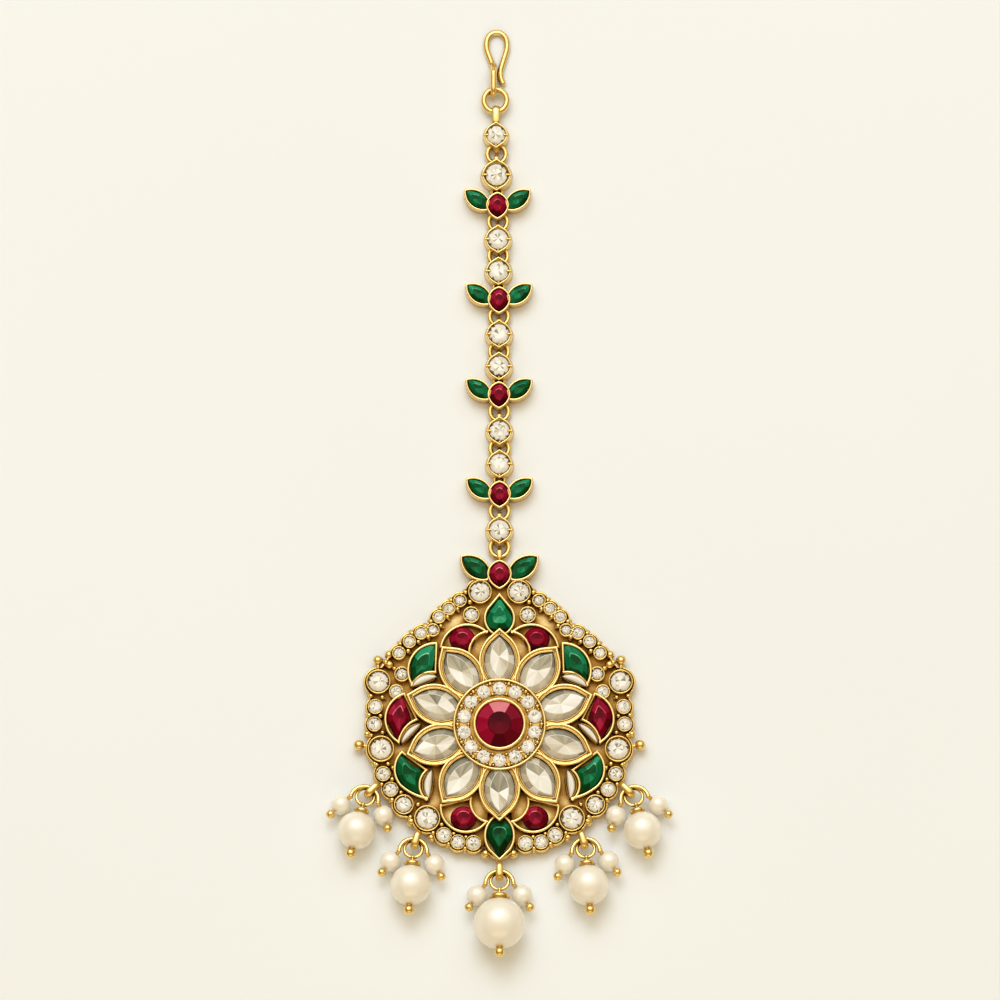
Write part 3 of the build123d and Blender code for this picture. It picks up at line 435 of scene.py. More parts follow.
class Shape:
    """Gathers one piece's faces, each with a tone: depth of painted shade on gold, painted facet brightness
    on stones.
    """

    def __init__(self):
        self.points = []
        self.faces = []
        self.tones = []
        self.flat = []

    def add(self, points, faces, tone=0.0, flat=False):
        """Adds faces that share one tone, or have one each."""
        base = len(self.points)
        self.points += points
        self.faces += [tuple(base + index for index in face) for face in faces]
        self.tones += tone if isinstance(tone, list) else [tone] * len(faces)
        self.flat += [flat] * len(faces)

    def facet(self, points, tone):
        """Adds one flat face."""
        self.add(points, [tuple(range(len(points)))], tone, flat=True)

    def loft(self, rings, tone=0.0, close=True, cap_start=False, cap_end=False, flat=False):
        """Joins rings of equal length, anticlockwise seen from outside as they advance."""
        count = len(rings[0])
        levels = len(rings) - 1
        faces = []
        tones = []
        for level in range(levels):
            made = band(count, level, close)
            faces += made
            tones += [tone[level] if isinstance(tone, list) else tone] * len(made)
        if cap_start:
            faces.append(tuple(reversed(range(count))))
            tones.append(tones[0])
        if cap_end:
            faces.append(tuple(range(levels * count, (levels + 1) * count)))
            tones.append(tones[-1])
        self.add([point for ring in rings for point in ring], faces, tones, flat)

    def rim(self, outline, profile, tone=0.0, cap_end=False, cap_start=False):
        """Carries a profile of (inset, height) round an outline."""
        rings = [raised(inset(outline, step), z) for step, z in profile]
        self.loft(rings, tone, cap_end=cap_end, cap_start=cap_start)

    def ball(self, centre, radius, around=20):
        """A round bead."""
        x, y, z = centre
        levels = around // 2
        rings = []
        for level in range(1, levels):
            turn = pi * level / levels
            rings.append(raised(circle_outline(x, y, radius * sin(turn), around), z - radius * cos(turn)))
        count = len(rings) * around
        points = [point for ring in rings for point in ring] + [(x, y, z - radius), (x, y, z + radius)]
        faces = [face for level in range(len(rings) - 1) for face in band(around, level)]
        for k in range(around):
            after = (k + 1) % around
            faces.append((after, k, count))
            faces.append((count - around + k, count - around + after, count + 1))
        self.add(points, faces)

    def tube(self, path, radius, closed=False, around=14, flatten=1.0, across=None, caps=True):
        """Round wire along a path, or a strap where flatten is under 1 and across runs along its width."""
        path = [Vector(point) for point in path]
        count = len(path)
        radii = radius if isinstance(radius, list) else [radius] * count
        tangents = []
        for k in range(count):
            before, after = (k - 1, (k + 1) % count) if closed else (max(k - 1, 0), min(k + 1, count - 1))
            tangents.append((path[after] - path[before]).normalized())
        turns = [2 * pi * k / around for k in range(around)]
        wide = Vector(across) if across else tangents[0].orthogonal()
        rings = []
        for point, tangent, reach in zip(path, tangents, radii):
            wide = (wide - tangent * wide.dot(tangent)).normalized()
            thick = tangent.cross(wide)
            ring = [point + wide * (reach * cos(a)) + thick * (flatten * reach * sin(a)) for a in turns]
            rings.append([tuple(place) for place in ring])
        if closed:
            rings.append(rings[0])
        self.loft(rings)
        if caps and not closed:
            self.ball(path[0], radii[0], around)
            self.ball(path[-1], radii[-1], around)

    def piece(self, name, material, slot, nodes, crease=38):
        """Makes the Blender object, rides it on the root and hides the CAD nodes it stands for."""
        mesh = bpy.data.meshes.new(name)
        mesh.from_pydata([(x * MM, y * MM, z * MM) for x, y, z in self.points], [], self.faces)
        mesh.attributes.new("tone", "FLOAT", "FACE").data.foreach_set("value", self.tones)
        mesh.polygons.foreach_set("use_smooth", [not flat for flat in self.flat])
        mesh.validate()
        mesh.set_sharp_from_angle(angle=radians(crease))
        mesh.materials.append(material)
        made = add_object(name, mesh)
        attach(made, "root")
        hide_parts(*nodes)


def half_round(start, width, top, steps=6, rise=1.0):
    """Profile points of a rounded rim after its outer foot, over the top; rise under 1 flattens it."""
    r = width / 2
    turns = [pi * k / steps for k in range(1, steps + 1)]
    return [(start + r - r * cos(turn), top - rise * (r - r * sin(turn))) for turn in turns]


def rounded_path(corners, radii, arc_step=0.25, run_step=0.5):
    """A path of straight runs with each corner rounded by an arc of its own radius."""
    corners = [Vector(corner) for corner in corners]
    path = [corners[0]]
    for before, here, after, radius in zip(corners, corners[1:], corners[2:], radii):
        back, on = (before - here).normalized(), (after - here).normalized()
        half = acos(max(-1, min(1, back.dot(on)))) / 2
        centre = here + (back + on).normalized() * (radius / sin(half))
        first = here + back * (radius / tan(half)) - centre
        last = here + on * (radius / tan(half)) - centre
        count = max(3, round((pi - 2 * half) * radius / arc_step))
        path += [centre + radius * first.slerp(last, k / count) for k in range(count + 1)]
    path.append(corners[-1])
    dense = []
    for start, end in zip(path, path[1:]):
        pieces = max(1, round((end - start).length / run_step))
        dense += [start.lerp(end, k / pieces) for k in range(pieces)]
    return dense + [path[-1]]


def ring_path(plane, radius, sweep=2 * pi, count=48):
    """Points round a circle, or part of one, in a plane given as a matrix."""
    turns = [sweep * k / count for k in range(count + (sweep < 2 * pi))]
    return [plane @ Vector((radius * cos(turn), radius * sin(turn), 0)) for turn in turns]


def loop_path(middle, run, length, height, count=12):
    """Points round a standing stadium whose long side lies along run."""
    middle, run, up = Vector(middle), Vector(run), Vector((0, 0, 1))
    r = height / 2
    reach = max(0.0, length / 2 - r)
    path = []
    for side in SIDES:
        for k in range(count + 1):
            turn = pi * k / count - side * pi / 2
            path.append(middle + run * (side * reach + r * cos(turn)) + up * (r * sin(turn)))
    return path


# ---- materials
def node_material(name):
    """A node material with its tree and its Principled shader."""
    material = bpy.data.materials.new(name)
    material.use_nodes = True
    return material, material.node_tree, material.node_tree.nodes["Principled BSDF"]


def set_inputs(node, values):
    """Sets a node's inputs by name."""
    for name, value in values.items():
        node.inputs[name].default_value = value


def face_tone(tree):
    """The output that gives each face's tone."""
    tone = tree.nodes.new("ShaderNodeAttribute")
    tone.attribute_name = "tone"
    return tone.outputs["Fac"]


def add_math(tree, operation, *values):
    """A math node's output; each value is a number or another node's output."""
    node = tree.nodes.new("ShaderNodeMath")
    node.operation = operation
    for socket, value in zip(node.inputs, values):
        if isinstance(value, float):
            socket.default_value = value
        else:
            tree.links.new(value, socket)
    return node.outputs["Value"]


def add_colours(tree, value, stops, target):
    """A colour ramp of (position, linear colour) stops between a value and a colour input."""
    ramp = tree.nodes.new("ShaderNodeValToRGB")
    elements = ramp.color_ramp.elements
    while len(elements) < len(stops):
        elements.new(0.5)
    for element, (position, colour) in zip(elements, stops):
        element.position = position
        element.color = (*colour, 1)
    tree.links.new(value, ramp.inputs["Fac"])
    tree.links.new(ramp.outputs["Color"], target)


def add_noise(tree, scale, detail=3):
    """Noise in the object's own space."""
    place = tree.nodes.new("ShaderNodeTexCoord")
    noise = tree.nodes.new("ShaderNodeTexNoise")
    set_inputs(noise, {"Scale": scale, "Detail": detail})
    tree.links.new(place.outputs["Object"], noise.inputs["Vector"])
    return noise.outputs["Fac"]


def add_bump(tree, shader, height, strength, distance):
    """Bump from a height output, with its distance in millimetres."""
    bump = tree.nodes.new("ShaderNodeBump")
    set_inputs(bump, {"Strength": strength, "Distance": distance * MM})
    tree.links.new(height, bump.inputs["Height"])
    tree.links.new(bump.outputs["Normal"], shader.inputs["Normal"])


def gold_material(name, colours, roughness, painted_shade, reach):
    """Polished gold plating with painted shade: darker and redder in its recesses from ambient occlusion and
    each face's tone, with faint polishing marks.
    """
    material, tree, shader = node_material(name)
    set_inputs(shader, {"Metallic": 1.0})
    # painted shade: the gold's colour darkens where ambient occlusion finds a recess
    shade = tree.nodes.new("ShaderNodeAmbientOcclusion")
    shade.samples = 8
    set_inputs(shade, {"Distance": reach * MM})
    noise = add_noise(tree, 900)
    recess = add_math(tree, "SUBTRACT", 1.0, shade.outputs["AO"])
    shade_depth = add_math(tree, "MULTIPLY_ADD", recess, painted_shade, face_tone(tree))
    shade_and_mottle = add_math(tree, "MULTIPLY_ADD", noise, 0.16, shade_depth)
    add_colours(tree, shade_and_mottle, list(zip(GOLD_STOPS, colours)), shader.inputs["Base Color"])
    rough = tree.nodes.new("ShaderNodeMapRange")
    set_inputs(rough, {"To Min": roughness - 0.05, "To Max": roughness + 0.09})
    tree.links.new(noise, rough.inputs["Value"])
    tree.links.new(rough.outputs["Result"], shader.inputs["Roughness"])
    add_bump(tree, shader, add_noise(tree, 2600), 0.2, 0.03)
    return material


def stone_material(name, stops, specular):
    """A foil-backed cut stone: each facet's tone picks its colour as painted highlight or painted shade, and
    the surface is hard and glossy.
    """
    material, tree, shader = node_material(name)
    set_inputs(shader, {"Roughness": 0.06, "Specular IOR Level": specular})
    cloud = add_math(tree, "MULTIPLY_ADD", add_noise(tree, 700, 2), 0.12, -0.06)
    tone = add_math(tree, "ADD", face_tone(tree), cloud)
    add_colours(tree, tone, stops, shader.inputs["Base Color"])
    return material


def pearl_material():
    """Lustrous pearl: cream body under a soft sheen, with very faint growth clouds."""
    material, tree, shader = node_material("pearl")
    set_inputs(shader, {"Metallic": 0.12, "Roughness": 0.3})
    set_inputs(shader, {"Coat Weight": 0.8, "Coat Roughness": 0.22, "Coat Tint": (1.0, 0.97, 0.9, 1)})
    noise = add_noise(tree, 260, 4)
    clouds = [(0.35, (0.945, 0.925, 0.89)), (0.65, (0.96, 0.95, 0.925))]
    add_colours(tree, noise, clouds, shader.inputs["Base Color"])
    add_bump(tree, shader, noise, 0.05, 0.05)
    return material


# where the four golds of each plating lie, from lit metal to the deepest painted shade in recesses
GOLD_STOPS = (0.1, 0.32, 0.6, 0.95)
BRIGHT_GOLDS = [(0.90, 0.66, 0.25), (0.74, 0.49, 0.13), (0.46, 0.26, 0.045), (0.14, 0.06, 0.008)]
PALE_GOLDS = [(0.92, 0.69, 0.29), (0.78, 0.52, 0.16), (0.44, 0.23, 0.04), (0.13, 0.052, 0.007)]
SATIN_GOLDS = [(0.92, 0.80, 0.50), (0.78, 0.60, 0.27), (0.30, 0.14, 0.022), (0.08, 0.03, 0.004)]
# stone colours from the darkest painted facet shade to the brightest painted highlight
CLEAR_STOPS = [
    (0.0, (0.10, 0.09, 0.06)), (0.25, (0.27, 0.25, 0.18)), (0.5, (0.57, 0.50, 0.37)),
    (0.75, (0.81, 0.78, 0.71)), (1.0, (0.97, 0.975, 0.98)),
]
RUBY_STOPS = [
    (0.0, (0.035, 0.0, 0.003)), (0.3, (0.13, 0.001, 0.009)), (0.55, (0.30, 0.002, 0.026)),
    (0.8, (0.50, 0.025, 0.075)), (1.0, (0.75, 0.24, 0.30)),
]
EMERALD_STOPS = [
    (0.0, (0.0, 0.016, 0.002)), (0.3, (0.0, 0.06, 0.012)), (0.55, (0.002, 0.15, 0.056)),
    (0.8, (0.02, 0.33, 0.155)), (1.0, (0.22, 0.56, 0.38)),
]
GOLD = gold_material("gold", BRIGHT_GOLDS, 0.2, 0.9, 0.8)
GOLD_PALE = gold_material("gold_pale", PALE_GOLDS, 0.24, 1.1, 0.95)
GOLD_SATIN = gold_material("gold_satin", SATIN_GOLDS, 0.36, 0.85, 1.5)
CLEAR = stone_material("clear_stone", CLEAR_STOPS, 0.5)
RUBY = stone_material("ruby", RUBY_STOPS, 0.08)
EMERALD = stone_material("emerald", EMERALD_STOPS, 0.12)
PEARL = pearl_material()


# ---- stones
def add_cut_stone(shape, girdle, floor, edge_z, top, facets=9, level=0.36, table_level=0.42):
    """A coloured stone with painted light: a painted dark edge, crown facets painted brighter towards +Y, a
    painted bright bevel and a table painted darker towards +Y.
    """
    girdle = anticlockwise(girdle)
    count = len(girdle)
    centre = centroid(girdle)
    steps = ((1.0, floor), (1.0, edge_z), (0.9, edge_z + 0.2), (0.57, top - 0.06), (0.5, top))
    rings = [raised(spread(girdle, scale), z) for scale, z in steps]
    starts = sorted({round(k * count / facets) % count for k in range(facets)})
    chance = {start: draw.uniform(-0.14, 0.14) for start in starts}
    lean = []
    for k in range(count):
        first = max(start for start in starts if start <= k)
        later = starts[(starts.index(first) + 1) % len(starts)]
        turn = atan2(girdle[first][1] - centre[1], girdle[first][0] - centre[0])
        span = (atan2(girdle[later][1] - centre[1], girdle[later][0] - centre[0]) - turn) % (2 * pi)
        lean.append((sin(turn + span / 2), chance[first]))
    # painted light per ring of facets: a dark girdle, crown and bevel painted brighter on the +Y side, plus
    # random change
    ring_tones = [
        [0.1] * count,
        [0.14 + 0.22 * up + luck for up, luck in lean],
        [level + 0.2 * up + 1.3 * luck for up, luck in lean],
        [0.42 + 0.5 * max(0.0, up) + luck for up, luck in lean],
    ]
    for lower, upper, tones in zip(rings, rings[1:], ring_tones):
        shape.add(lower + upper, band(count), tones, flat=True)
    # painted shade: the table is darker on its +Y side
    tones = [table_level - 0.16 * up + 0.7 * luck for up, luck in lean]
    shape.add(rings[-1] + [(*centre, top + 0.03)], fan(count), tones, flat=True)


# brightness of a small stone's facets, drawn by chance: painted glints and painted dark facets
STAR = (1.0, 1.0, 0.9, 0.65)
KITE = (1.0, 1.0, 0.95, 0.85)
HALF = (1.0, 1.0, 0.9, 0.7, 0.15)
TABLE = (1.0, 1.0, 1.0, 0.95, 0.7, 0.45, 0.25)


def add_brilliant(shape, x, y, radius, floor, edge_z, top):
    """A small round clear stone: octagonal table, kites and upper halves, each facet with its own painted
    sparkle, painted darker on the +Y side.
    """
    spin = draw.uniform(0, pi / 4)
    girdle = raised(circle_outline(x, y, radius, 16, spin), edge_z)
    middle = raised(circle_outline(x, y, 0.76 * radius, 8, spin + pi / 8), edge_z + 0.62 * (top - edge_z))
    table = raised(circle_outline(x, y, 0.55 * radius, 8, spin), top)
    shape.loft([[(a, b, floor) for a, b, z in girdle], girdle], 0.25, flat=True)
    heart = (x + draw.uniform(-0.1, 0.1) * radius, y + draw.uniform(-0.1, 0.1) * radius, top)
    for k in range(8):
        after = (k + 1) % 8
        star = [table[k], middle[k], table[after]]
        kite = [table[k], middle[k - 1], girdle[2 * k], middle[k]]
        upper = [middle[k], girdle[2 * k], girdle[2 * k + 1]]
        other = [middle[k], girdle[2 * k + 1], girdle[(2 * k + 2) % 16]]
        # painted shade: facets on the +Y side are darkened
        shade = max(0.0, sin(spin + (k + 0.5) * pi / 4))
        facets = ((star, STAR, 0.3), (kite, KITE, 0.14), (upper, HALF, 0.1), (other, HALF, 0.1))
        for points, sparkle, depth in facets:
            shape.facet(points, draw.choice(sparkle) - depth * shade)
        half = between(table[k], table[after], 0.5)
        for points in ([table[k], half, heart], [half, table[after], heart]):
            shape.facet(points, draw.choice(TABLE))


# ---- hook, ring and chain
shape = Shape()
shape.tube(rounded_path(HOOK_PATH, HOOK_BENDS), HOOK_WIRE, around=18)
shape.piece("hook_wire", GOLD, "gold", ["hook"])

shape = Shape()
shape.tube(ring_path(Matrix.Translation(HOOK_RING), HOOK_RING_R), HOOK_RING_WIRE, closed=True, around=18)
shape.piece("hook_ring_wire", GOLD, "gold", ["hook_ring"])

shape = Shape()
for x, y, ring_r, wire_r in CHAIN_RINGS:
    thick = WIRE_SWELL * wire_r
    path = ring_path(Matrix.Translation((x, y, RING_Z)), ring_r + wire_r - thick)
    shape.tube(path, thick, closed=True, around=18)
shape.piece("chain_rings", GOLD, "gold", ["jump_rings"])

# strap of a link round its ring: thickness, half width, air round the wire, air to the ring's centre
STRAP = 0.38
STRAP_HALF_WIDTH = 0.38
STRAP_GAP = 0.05
STRAP_SLACK = 0.06
# bail of the first link: reach past the hook ring's wire, overlap with the link, height, half width
HOOK_BAIL_REACH = 0.53
HOOK_BAIL_OVERLAP = 0.35
HOOK_BAIL_HEIGHT = 1.36
HOOK_BAIL_HALF_WIDTH = 0.6
# round link: wall as (inset, height), rim width, and seat as (share of the way to the stone, height)
LINK_WALL = [(-0.30, 0.0), (-0.30, 0.25), (-0.20, 0.5), (-0.06, 1.9), (0.0, 2.4)]
LINK_RIM = 0.28
LINK_SEAT = [(0.0, LINK_TOP - 0.28), (0.7, LINK_TOP - 0.42), (1.0, 2.02), (1.0, 1.7)]


def add_ring_strap(shape, ring, towards):
    """The strap of a link round one side of a chain ring."""
    x, y, ring_r, wire_r = ring
    reach = ring_r + wire_r + STRAP_GAP + STRAP
    length = reach - STRAP_SLACK
    height = 2 * (wire_r + STRAP_GAP + STRAP)
    middle = (x, y + towards * (reach - length / 2), RING_Z)
    path = loop_path(middle, (0, 1, 0), length - STRAP, height - STRAP)
    flatten = STRAP / (2 * STRAP_HALF_WIDTH)
    shape.tube(path, STRAP_HALF_WIDTH, closed=True, flatten=flatten, across=(1, 0, 0))


def add_straps(shape, y):
    """A link's straps round the chain rings just above and below it."""
    above = [(ring, -1) for ring in CHAIN_RINGS if ring[1] > y]
    below = [(ring, 1) for ring in CHAIN_RINGS if ring[1] < y]
    for ring, towards in above[-1:] + below[:1]:
        add_ring_strap(shape, ring, towards)


def add_hook_bail(shape, x, y, rim_r):
    """The bail between the first link and the hook ring."""
    top = HOOK_RING[1] - HOOK_RING_R + HOOK_RING_WIRE + HOOK_BAIL_REACH
    foot = y + rim_r - HOOK_BAIL_OVERLAP
    path = loop_path((x, (top + foot) / 2, HOOK_RING[2]), (0, 1, 0), top - foot - STRAP, HOOK_BAIL_HEIGHT)
    shape.tube(path, HOOK_BAIL_HALF_WIDTH, closed=True, flatten=0.36, across=(1, 0, 0), around=18)


def peaked_outline(x, y, radius, count=72):
    """A circle drawn out to a small point at its top and its foot."""
    half = acos(radius / (radius + PEAK))
    made = []
    for k in range(count):
        turn = 2 * pi * k / count
        off = min(abs(turn - pi / 2), abs(turn - 3 * pi / 2))
        reach = radius / cos(max(0.0, half - off))
        made.append((x + reach * cos(turn), y + reach * sin(turn)))
    return made


def add_round_link(shape, x, y, rim_r, stone_r):
    """A peaked bezel with its stone's seat, a prong at each side and a grain at its foot."""
    outline = peaked_outline(x, y, rim_r)
    shape.rim(outline, LINK_WALL + half_round(0.0, LINK_RIM, LINK_TOP, rise=0.8), cap_start=True)
    sides = list(zip(inset(outline, LINK_RIM), circle_outline(x, y, stone_r, len(outline))))
    seat = [raised([between(outer, inner, share) for outer, inner in sides], z) for share, z in LINK_SEAT]
    shape.loft(seat, 0.12, cap_end=True)
    for side in SIDES:
        place = x + side * (rim_r - 0.04)
        shape.ball((place, y, LINK_TOP - 0.1), 0.3, around=18)
        shape.tube([(place, y, LINK_TOP - 0.04), (x + side * (stone_r - 0.12), y, LINK_TOP - 0.02)], 0.17)
    shape.ball((x, y - rim_r + 0.12, LINK_TOP - 0.06), 0.22, around=16)


for number, (x, y, rim_r, stone_r) in enumerate(ROUND_LINKS, start=1):
    shape = Shape()
    add_round_link(shape, x, y, rim_r, stone_r)
    add_straps(shape, y)
    if number == 1:
        add_hook_bail(shape, x, y, rim_r)
    shape.piece(f"round_link_{number}", GOLD, "gold", [f"chain_link_{number}"])

shape = Shape()
for x, y, rim_r, stone_r in ROUND_LINKS:
    add_brilliant(shape, x, y, stone_r + 0.07, *CHAIN_CLEAR_Z)
shape.piece("chain_brilliants", CLEAR, "clear_stone", ["chain_clear_stones"])


def bezel_profile(wall, top, foot=0.0, floor=1.7):
    """A bezel with one rounded rim and a wall down to the stone's seat."""
    rim = half_round(0.0, wall, top, rise=0.85)
    return [(-0.05, foot), (0.0, top - 0.3)] + rim + [(wall + 0.02, floor)]


def add_leaf_cluster(shape, centre, ruby_scale=1.0, leaf_scale=1.0):
    """A ruby bezel between two leaf bezels, with the straps of its link."""
    for side in SIDES:
        outline = leaf_outline(centre, side, leaf_scale)
        shape.rim(outline, bezel_profile(0.34, LINK_TOP - 0.1), cap_start=True, cap_end=True)
    outline = ruby_outline(centre, ruby_scale)
    shape.rim(outline, bezel_profile(0.36, LINK_TOP), cap_start=True, cap_end=True)
    add_straps(shape, centre[1])


for number, centre in enumerate(LEAF_LINKS, start=1):
    shape = Shape()
    add_leaf_cluster(shape, centre)
    shape.piece(f"leaf_body_{number}", GOLD_PALE, "gold", [f"leaf_link_{number}"])

rubies, emeralds = Shape(), Shape()
tip_x = LEAF_BEZEL[0][0]
leaf_stone = spread([(LEAF_STRETCH * (a - tip_x) + tip_x, b) for a, b in LEAF_STONE], 1.14)
clusters = [(centre, 1.0, 1.0) for centre in LEAF_LINKS] + [(CREST, CREST_RUBY_SCALE, CREST_LEAF_SCALE)]
for centre, ruby_scale, leaf_scale in clusters:
    outline = inset(ruby_outline(centre, ruby_scale), 0.40)
    add_cut_stone(rubies, outline[:: max(1, len(outline) // 27)], *CHAIN_RUBY_Z)
    for side in SIDES:
        girdle = [(centre[0] + side * leaf_scale * a, centre[1] + leaf_scale * b) for a, b in leaf_stone]
        add_cut_stone(emeralds, smoothed(girdle), *LEAF_STONE_Z, facets=7, level=0.44)
rubies.piece("leaf_rubies", RUBY, "ruby", ["chain_rubies"])
emeralds.piece("leaf_emeralds", EMERALD, "emerald", ["chain_emeralds"])

# ---- pendant setting
SETTING = ["pendant_setting"]
PLATE_MARGIN = 0.4
PLATE_STEPS = 1080
PLATE_CORE_R = 4.0
RAIL_DEPTH = 3.0


def plate_circles():
    """Circles that cover the plate together, as x, y and radius."""
    found = [(0, 21.8, 1.6), (0, -19.2, 2.4)]
    for side in SIDES:
        found += [(side * x, y, rim_r + PLATE_MARGIN) for x, y, rim_r, stone_r in BORDER]
        for row, after in zip(BORDER, BORDER[1:]):
            for k in range(8):
                x, y = between(row[:2], after[:2], k / 7)
                found.append((side * x, y, min(row[2], after[2])))
    return found


def plate_reach(turn, discs):
    """How far the plate reaches from the centre in one direction."""
    ux, uy = cos(turn), sin(turn)
    reach = 0.0
    for x, y, radius in discs:
        along = x * ux + y * uy
        aside = x * uy - y * ux
        if along > 0 and abs(aside) < radius:
            reach = max(reach, along + sqrt(radius * radius - aside * aside))
    return reach


plate_turns = [2 * pi * k / PLATE_STEPS for k in range(PLATE_STEPS)]
discs = plate_circles()
plate_reaches = [plate_reach(turn, discs) for turn in plate_turns]


def plate_ring(step, z):
    """The plate's outline drawn in towards the centre by a step."""
    return [((r - step) * cos(a), (r - step) * sin(a), z) for r, a in zip(plate_reaches, plate_turns)]


shape = Shape()
lip = [(RAIL_DEPTH, 0.0), (0.02, 0.0), (0.0, 0.15), (0.0, 1.75)] + half_round(0.0, 0.36, 2.0, rise=0.8)
lip += [(0.38, 1.5), (0.42, PLATE_TOP + 0.1)]
shape.loft([plate_ring(step, z) for step, z in lip])
shape.piece("plate_rail", GOLD, "gold", SETTING)
shape = Shape()
core = circle_outline(0, 0, PLATE_CORE_R, PLATE_STEPS)
ground_rings = [plate_ring(0.35, PLATE_TOP), raised(core, PLATE_TOP)]
ground_rings.insert(1, [between(outer, inner, 0.5) for outer, inner in zip(*ground_rings)])
shape.loft(ground_rings, 0.1)
shape.loft([raised(core, 0.02), plate_ring(RAIL_DEPTH, 0.02)], 0.1, cap_start=True)
shape.piece("plate_ground", GOLD_SATIN, "gold", SETTING)

shape = Shape()
petal_profile = [(-0.06, PLATE_TOP), (0.0, 3.1)] + half_round(0.0, 0.42, PETAL_TOP, rise=0.7)
petal_profile += [(0.44, 3.22), (0.54, 3.19), (0.64, 3.21), (0.68, 3.24)]
petal_profile += half_round(0.68, 0.18, 3.34, 4) + [(0.88, 2.9), (0.95, 2.6)]
# painted shade: the groove and the inner wall down to the stone are darker
petal_tone = [0.12] * 2 + [0.0] * 5 + [0.12, 0.12, 0.16, 0.22] + [0.05] * 4 + [0.5, 0.5]
petal_turns = [pi / 2 - 2 * pi * k / PETAL_COUNT for k in range(PETAL_COUNT)]
for turn in petal_turns:
    shape.rim(turned(petal_outline(), turn), petal_profile, petal_tone, cap_end=True)
shape.piece("petal_bezels", GOLD_PALE, "gold", SETTING)

shape = Shape()
cell_lines = [sides_outline(sides, side) for sides in CELLS.values() for side in SIDES]
for line in cell_lines + [pointed_outline(*row) for row in POINTED_CELLS]:
    shape.rim(line, bezel_profile(0.46, CELL_TOP, PLATE_TOP, floor=PLATE_TOP))
shape.piece("cell_bezels", GOLD_PALE, "gold", SETTING)

# a white cell's stone from edge to edge as (share across, height), with the tone of each strip: a painted
# highlight down the middle, painted shade towards both edges
PILLOW = [(0.16, 2.3), (0.2, 2.55), (0.3, 2.72), (0.5, 2.82), (0.7, 2.74), (0.8, 2.58), (0.84, 2.3)]
PILLOW_TONES = [0.27, 0.48, 0.82, 0.72, 0.44, 0.27]
CRESCENT_BULGE = 0.13
CRESCENT_WALL = 0.2
CRESCENT_HALF_HEIGHT = 0.78
CRESCENT_Z = 1.85


def cross(first, via, last):
    """Positive where via lies to the right of the way from first to last."""
    return (via[0] - first[0]) * (last[1] - first[1]) - (via[1] - first[1]) * (last[0] - first[0])


def add_lens(shape, side, first, outer_via, last, inner_via):
    """A narrow pillow between two arcs that share their ends."""
    outer, inner = even_arc(first, outer_via, last, 20), even_arc(first, inner_via, last, 20)
    rows = [raised([between(a, b, share) for a, b in zip(outer, inner)], z) for share, z in PILLOW]
    tones = PILLOW_TONES
    if side * cross(first, outer_via, last) > 0:
        rows = rows[::-1]
        tones = tones[::-1]
    shape.loft(rows, tones, close=False)


def add_crescent_wall(shape, first, via, last):
    """An upright gold strip outside one arc of a crescent."""
    away = -1 if cross(first, via, last) > 0 else 1
    line = even_arc(first, via, last, 24)
    chord = (Vector(last) - Vector(first)).normalized()
    out = Vector((chord.y, -chord.x)) * away
    lift = [CRESCENT_BULGE * sin(pi * k / 24) for k in range(25)]
    path = [(x + out.x * far, y + out.y * far, CRESCENT_Z) for (x, y), far in zip(line, lift)]
    flatten = CRESCENT_WALL / CRESCENT_HALF_HEIGHT
    shape.tube(path, CRESCENT_HALF_HEIGHT, flatten=flatten, across=(0, 0, 1), around=20, caps=False)


shape = Shape()
white = Shape()
for side in SIDES:
    for arcs in CRESCENTS:
        first, outer_via, last, inner_via = [(side * x, y) for x, y in arcs]
        for via in (outer_via, inner_via):
            add_crescent_wall(shape, first, via, last)
        add_lens(white, side, first, outer_via, last, inner_via)
shape.piece("crescent_rims", GOLD_PALE, "gold", SETTING)
white.piece("crescents", CLEAR, "clear_stone", ["crescent_stones"], crease=60)

HALO_GROUND_Z = 3.3
HALO_BEAD_Z = 3.56
# gold beads between the halo's stones: distance from the centre, radius
HALO_BEADS = ((6.72, 0.34), (4.95, 0.27))
shape = Shape()
halo_profile = [(0.0, 2.6), (0.0, 3.5)] + half_round(0.0, 0.4, HALO_TOP) + [(0.42, 3.3)]
shape.rim(circle_outline(0, 0, HALO_OUTER, 120), halo_profile)
centre_profile = [(0.0, 3.0), (0.0, 3.9)] + half_round(0.0, 0.56, CENTRE_TOP, 8) + [(0.6, 3.2)]
shape.rim(circle_outline(0, 0, CENTRE_BEZEL_R, 96), centre_profile)
shape.piece("halo_rims", GOLD_PALE, "gold", SETTING)
shape = Shape()
shape.loft([raised(circle_outline(0, 0, radius, 96), HALO_GROUND_Z) for radius in (7.1, 4.1)], 0.1)
for k in range(HALO_COUNT):
    turn = pi / 2 + 2 * pi * (k + 0.5) / HALO_COUNT
    for reach, bead_r in HALO_BEADS:
        shape.ball((reach * cos(turn), reach * sin(turn), HALO_BEAD_Z), bead_r, around=14)
        for aside in (turn - 0.075, turn + 0.075):
            place = (reach * 0.995 * cos(aside), reach * 0.995 * sin(aside), HALO_BEAD_Z - 0.11)
            shape.ball(place, bead_r * 0.7, around=10)
shape.piece("halo_ground", GOLD_PALE, "gold", SETTING)

shape = Shape()
bezels = BORDER + INNER_BEZELS
border_rows = [(side * x, y, rim_r, stone_r) for side in SIDES for x, y, rim_r, stone_r in bezels]
for x, y, rim_r, stone_r in border_rows:
    wall = rim_r - stone_r
    lip_width = min(0.24, max(0.16, wall))
    profile = [(-0.06, PLATE_TOP), (0.0, 1.9)] + half_round(0.0, lip_width, BORDER_TOP)
    profile += [(lip_width + 0.03, 2.05), (max(lip_width + 0.04, wall), 1.95)]
    profile += [(max(lip_width + 0.05, wall + 0.02), 1.5)]
    # painted shade: the inner wall down to the stone's seat is darker
    tone = [0.1] * (len(profile) - 3) + [0.45, 0.5]
    shape.rim(circle_outline(x, y, rim_r, 36), profile, tone, cap_end=True)
shape.piece("border_bezels", GOLD, "gold", SETTING)


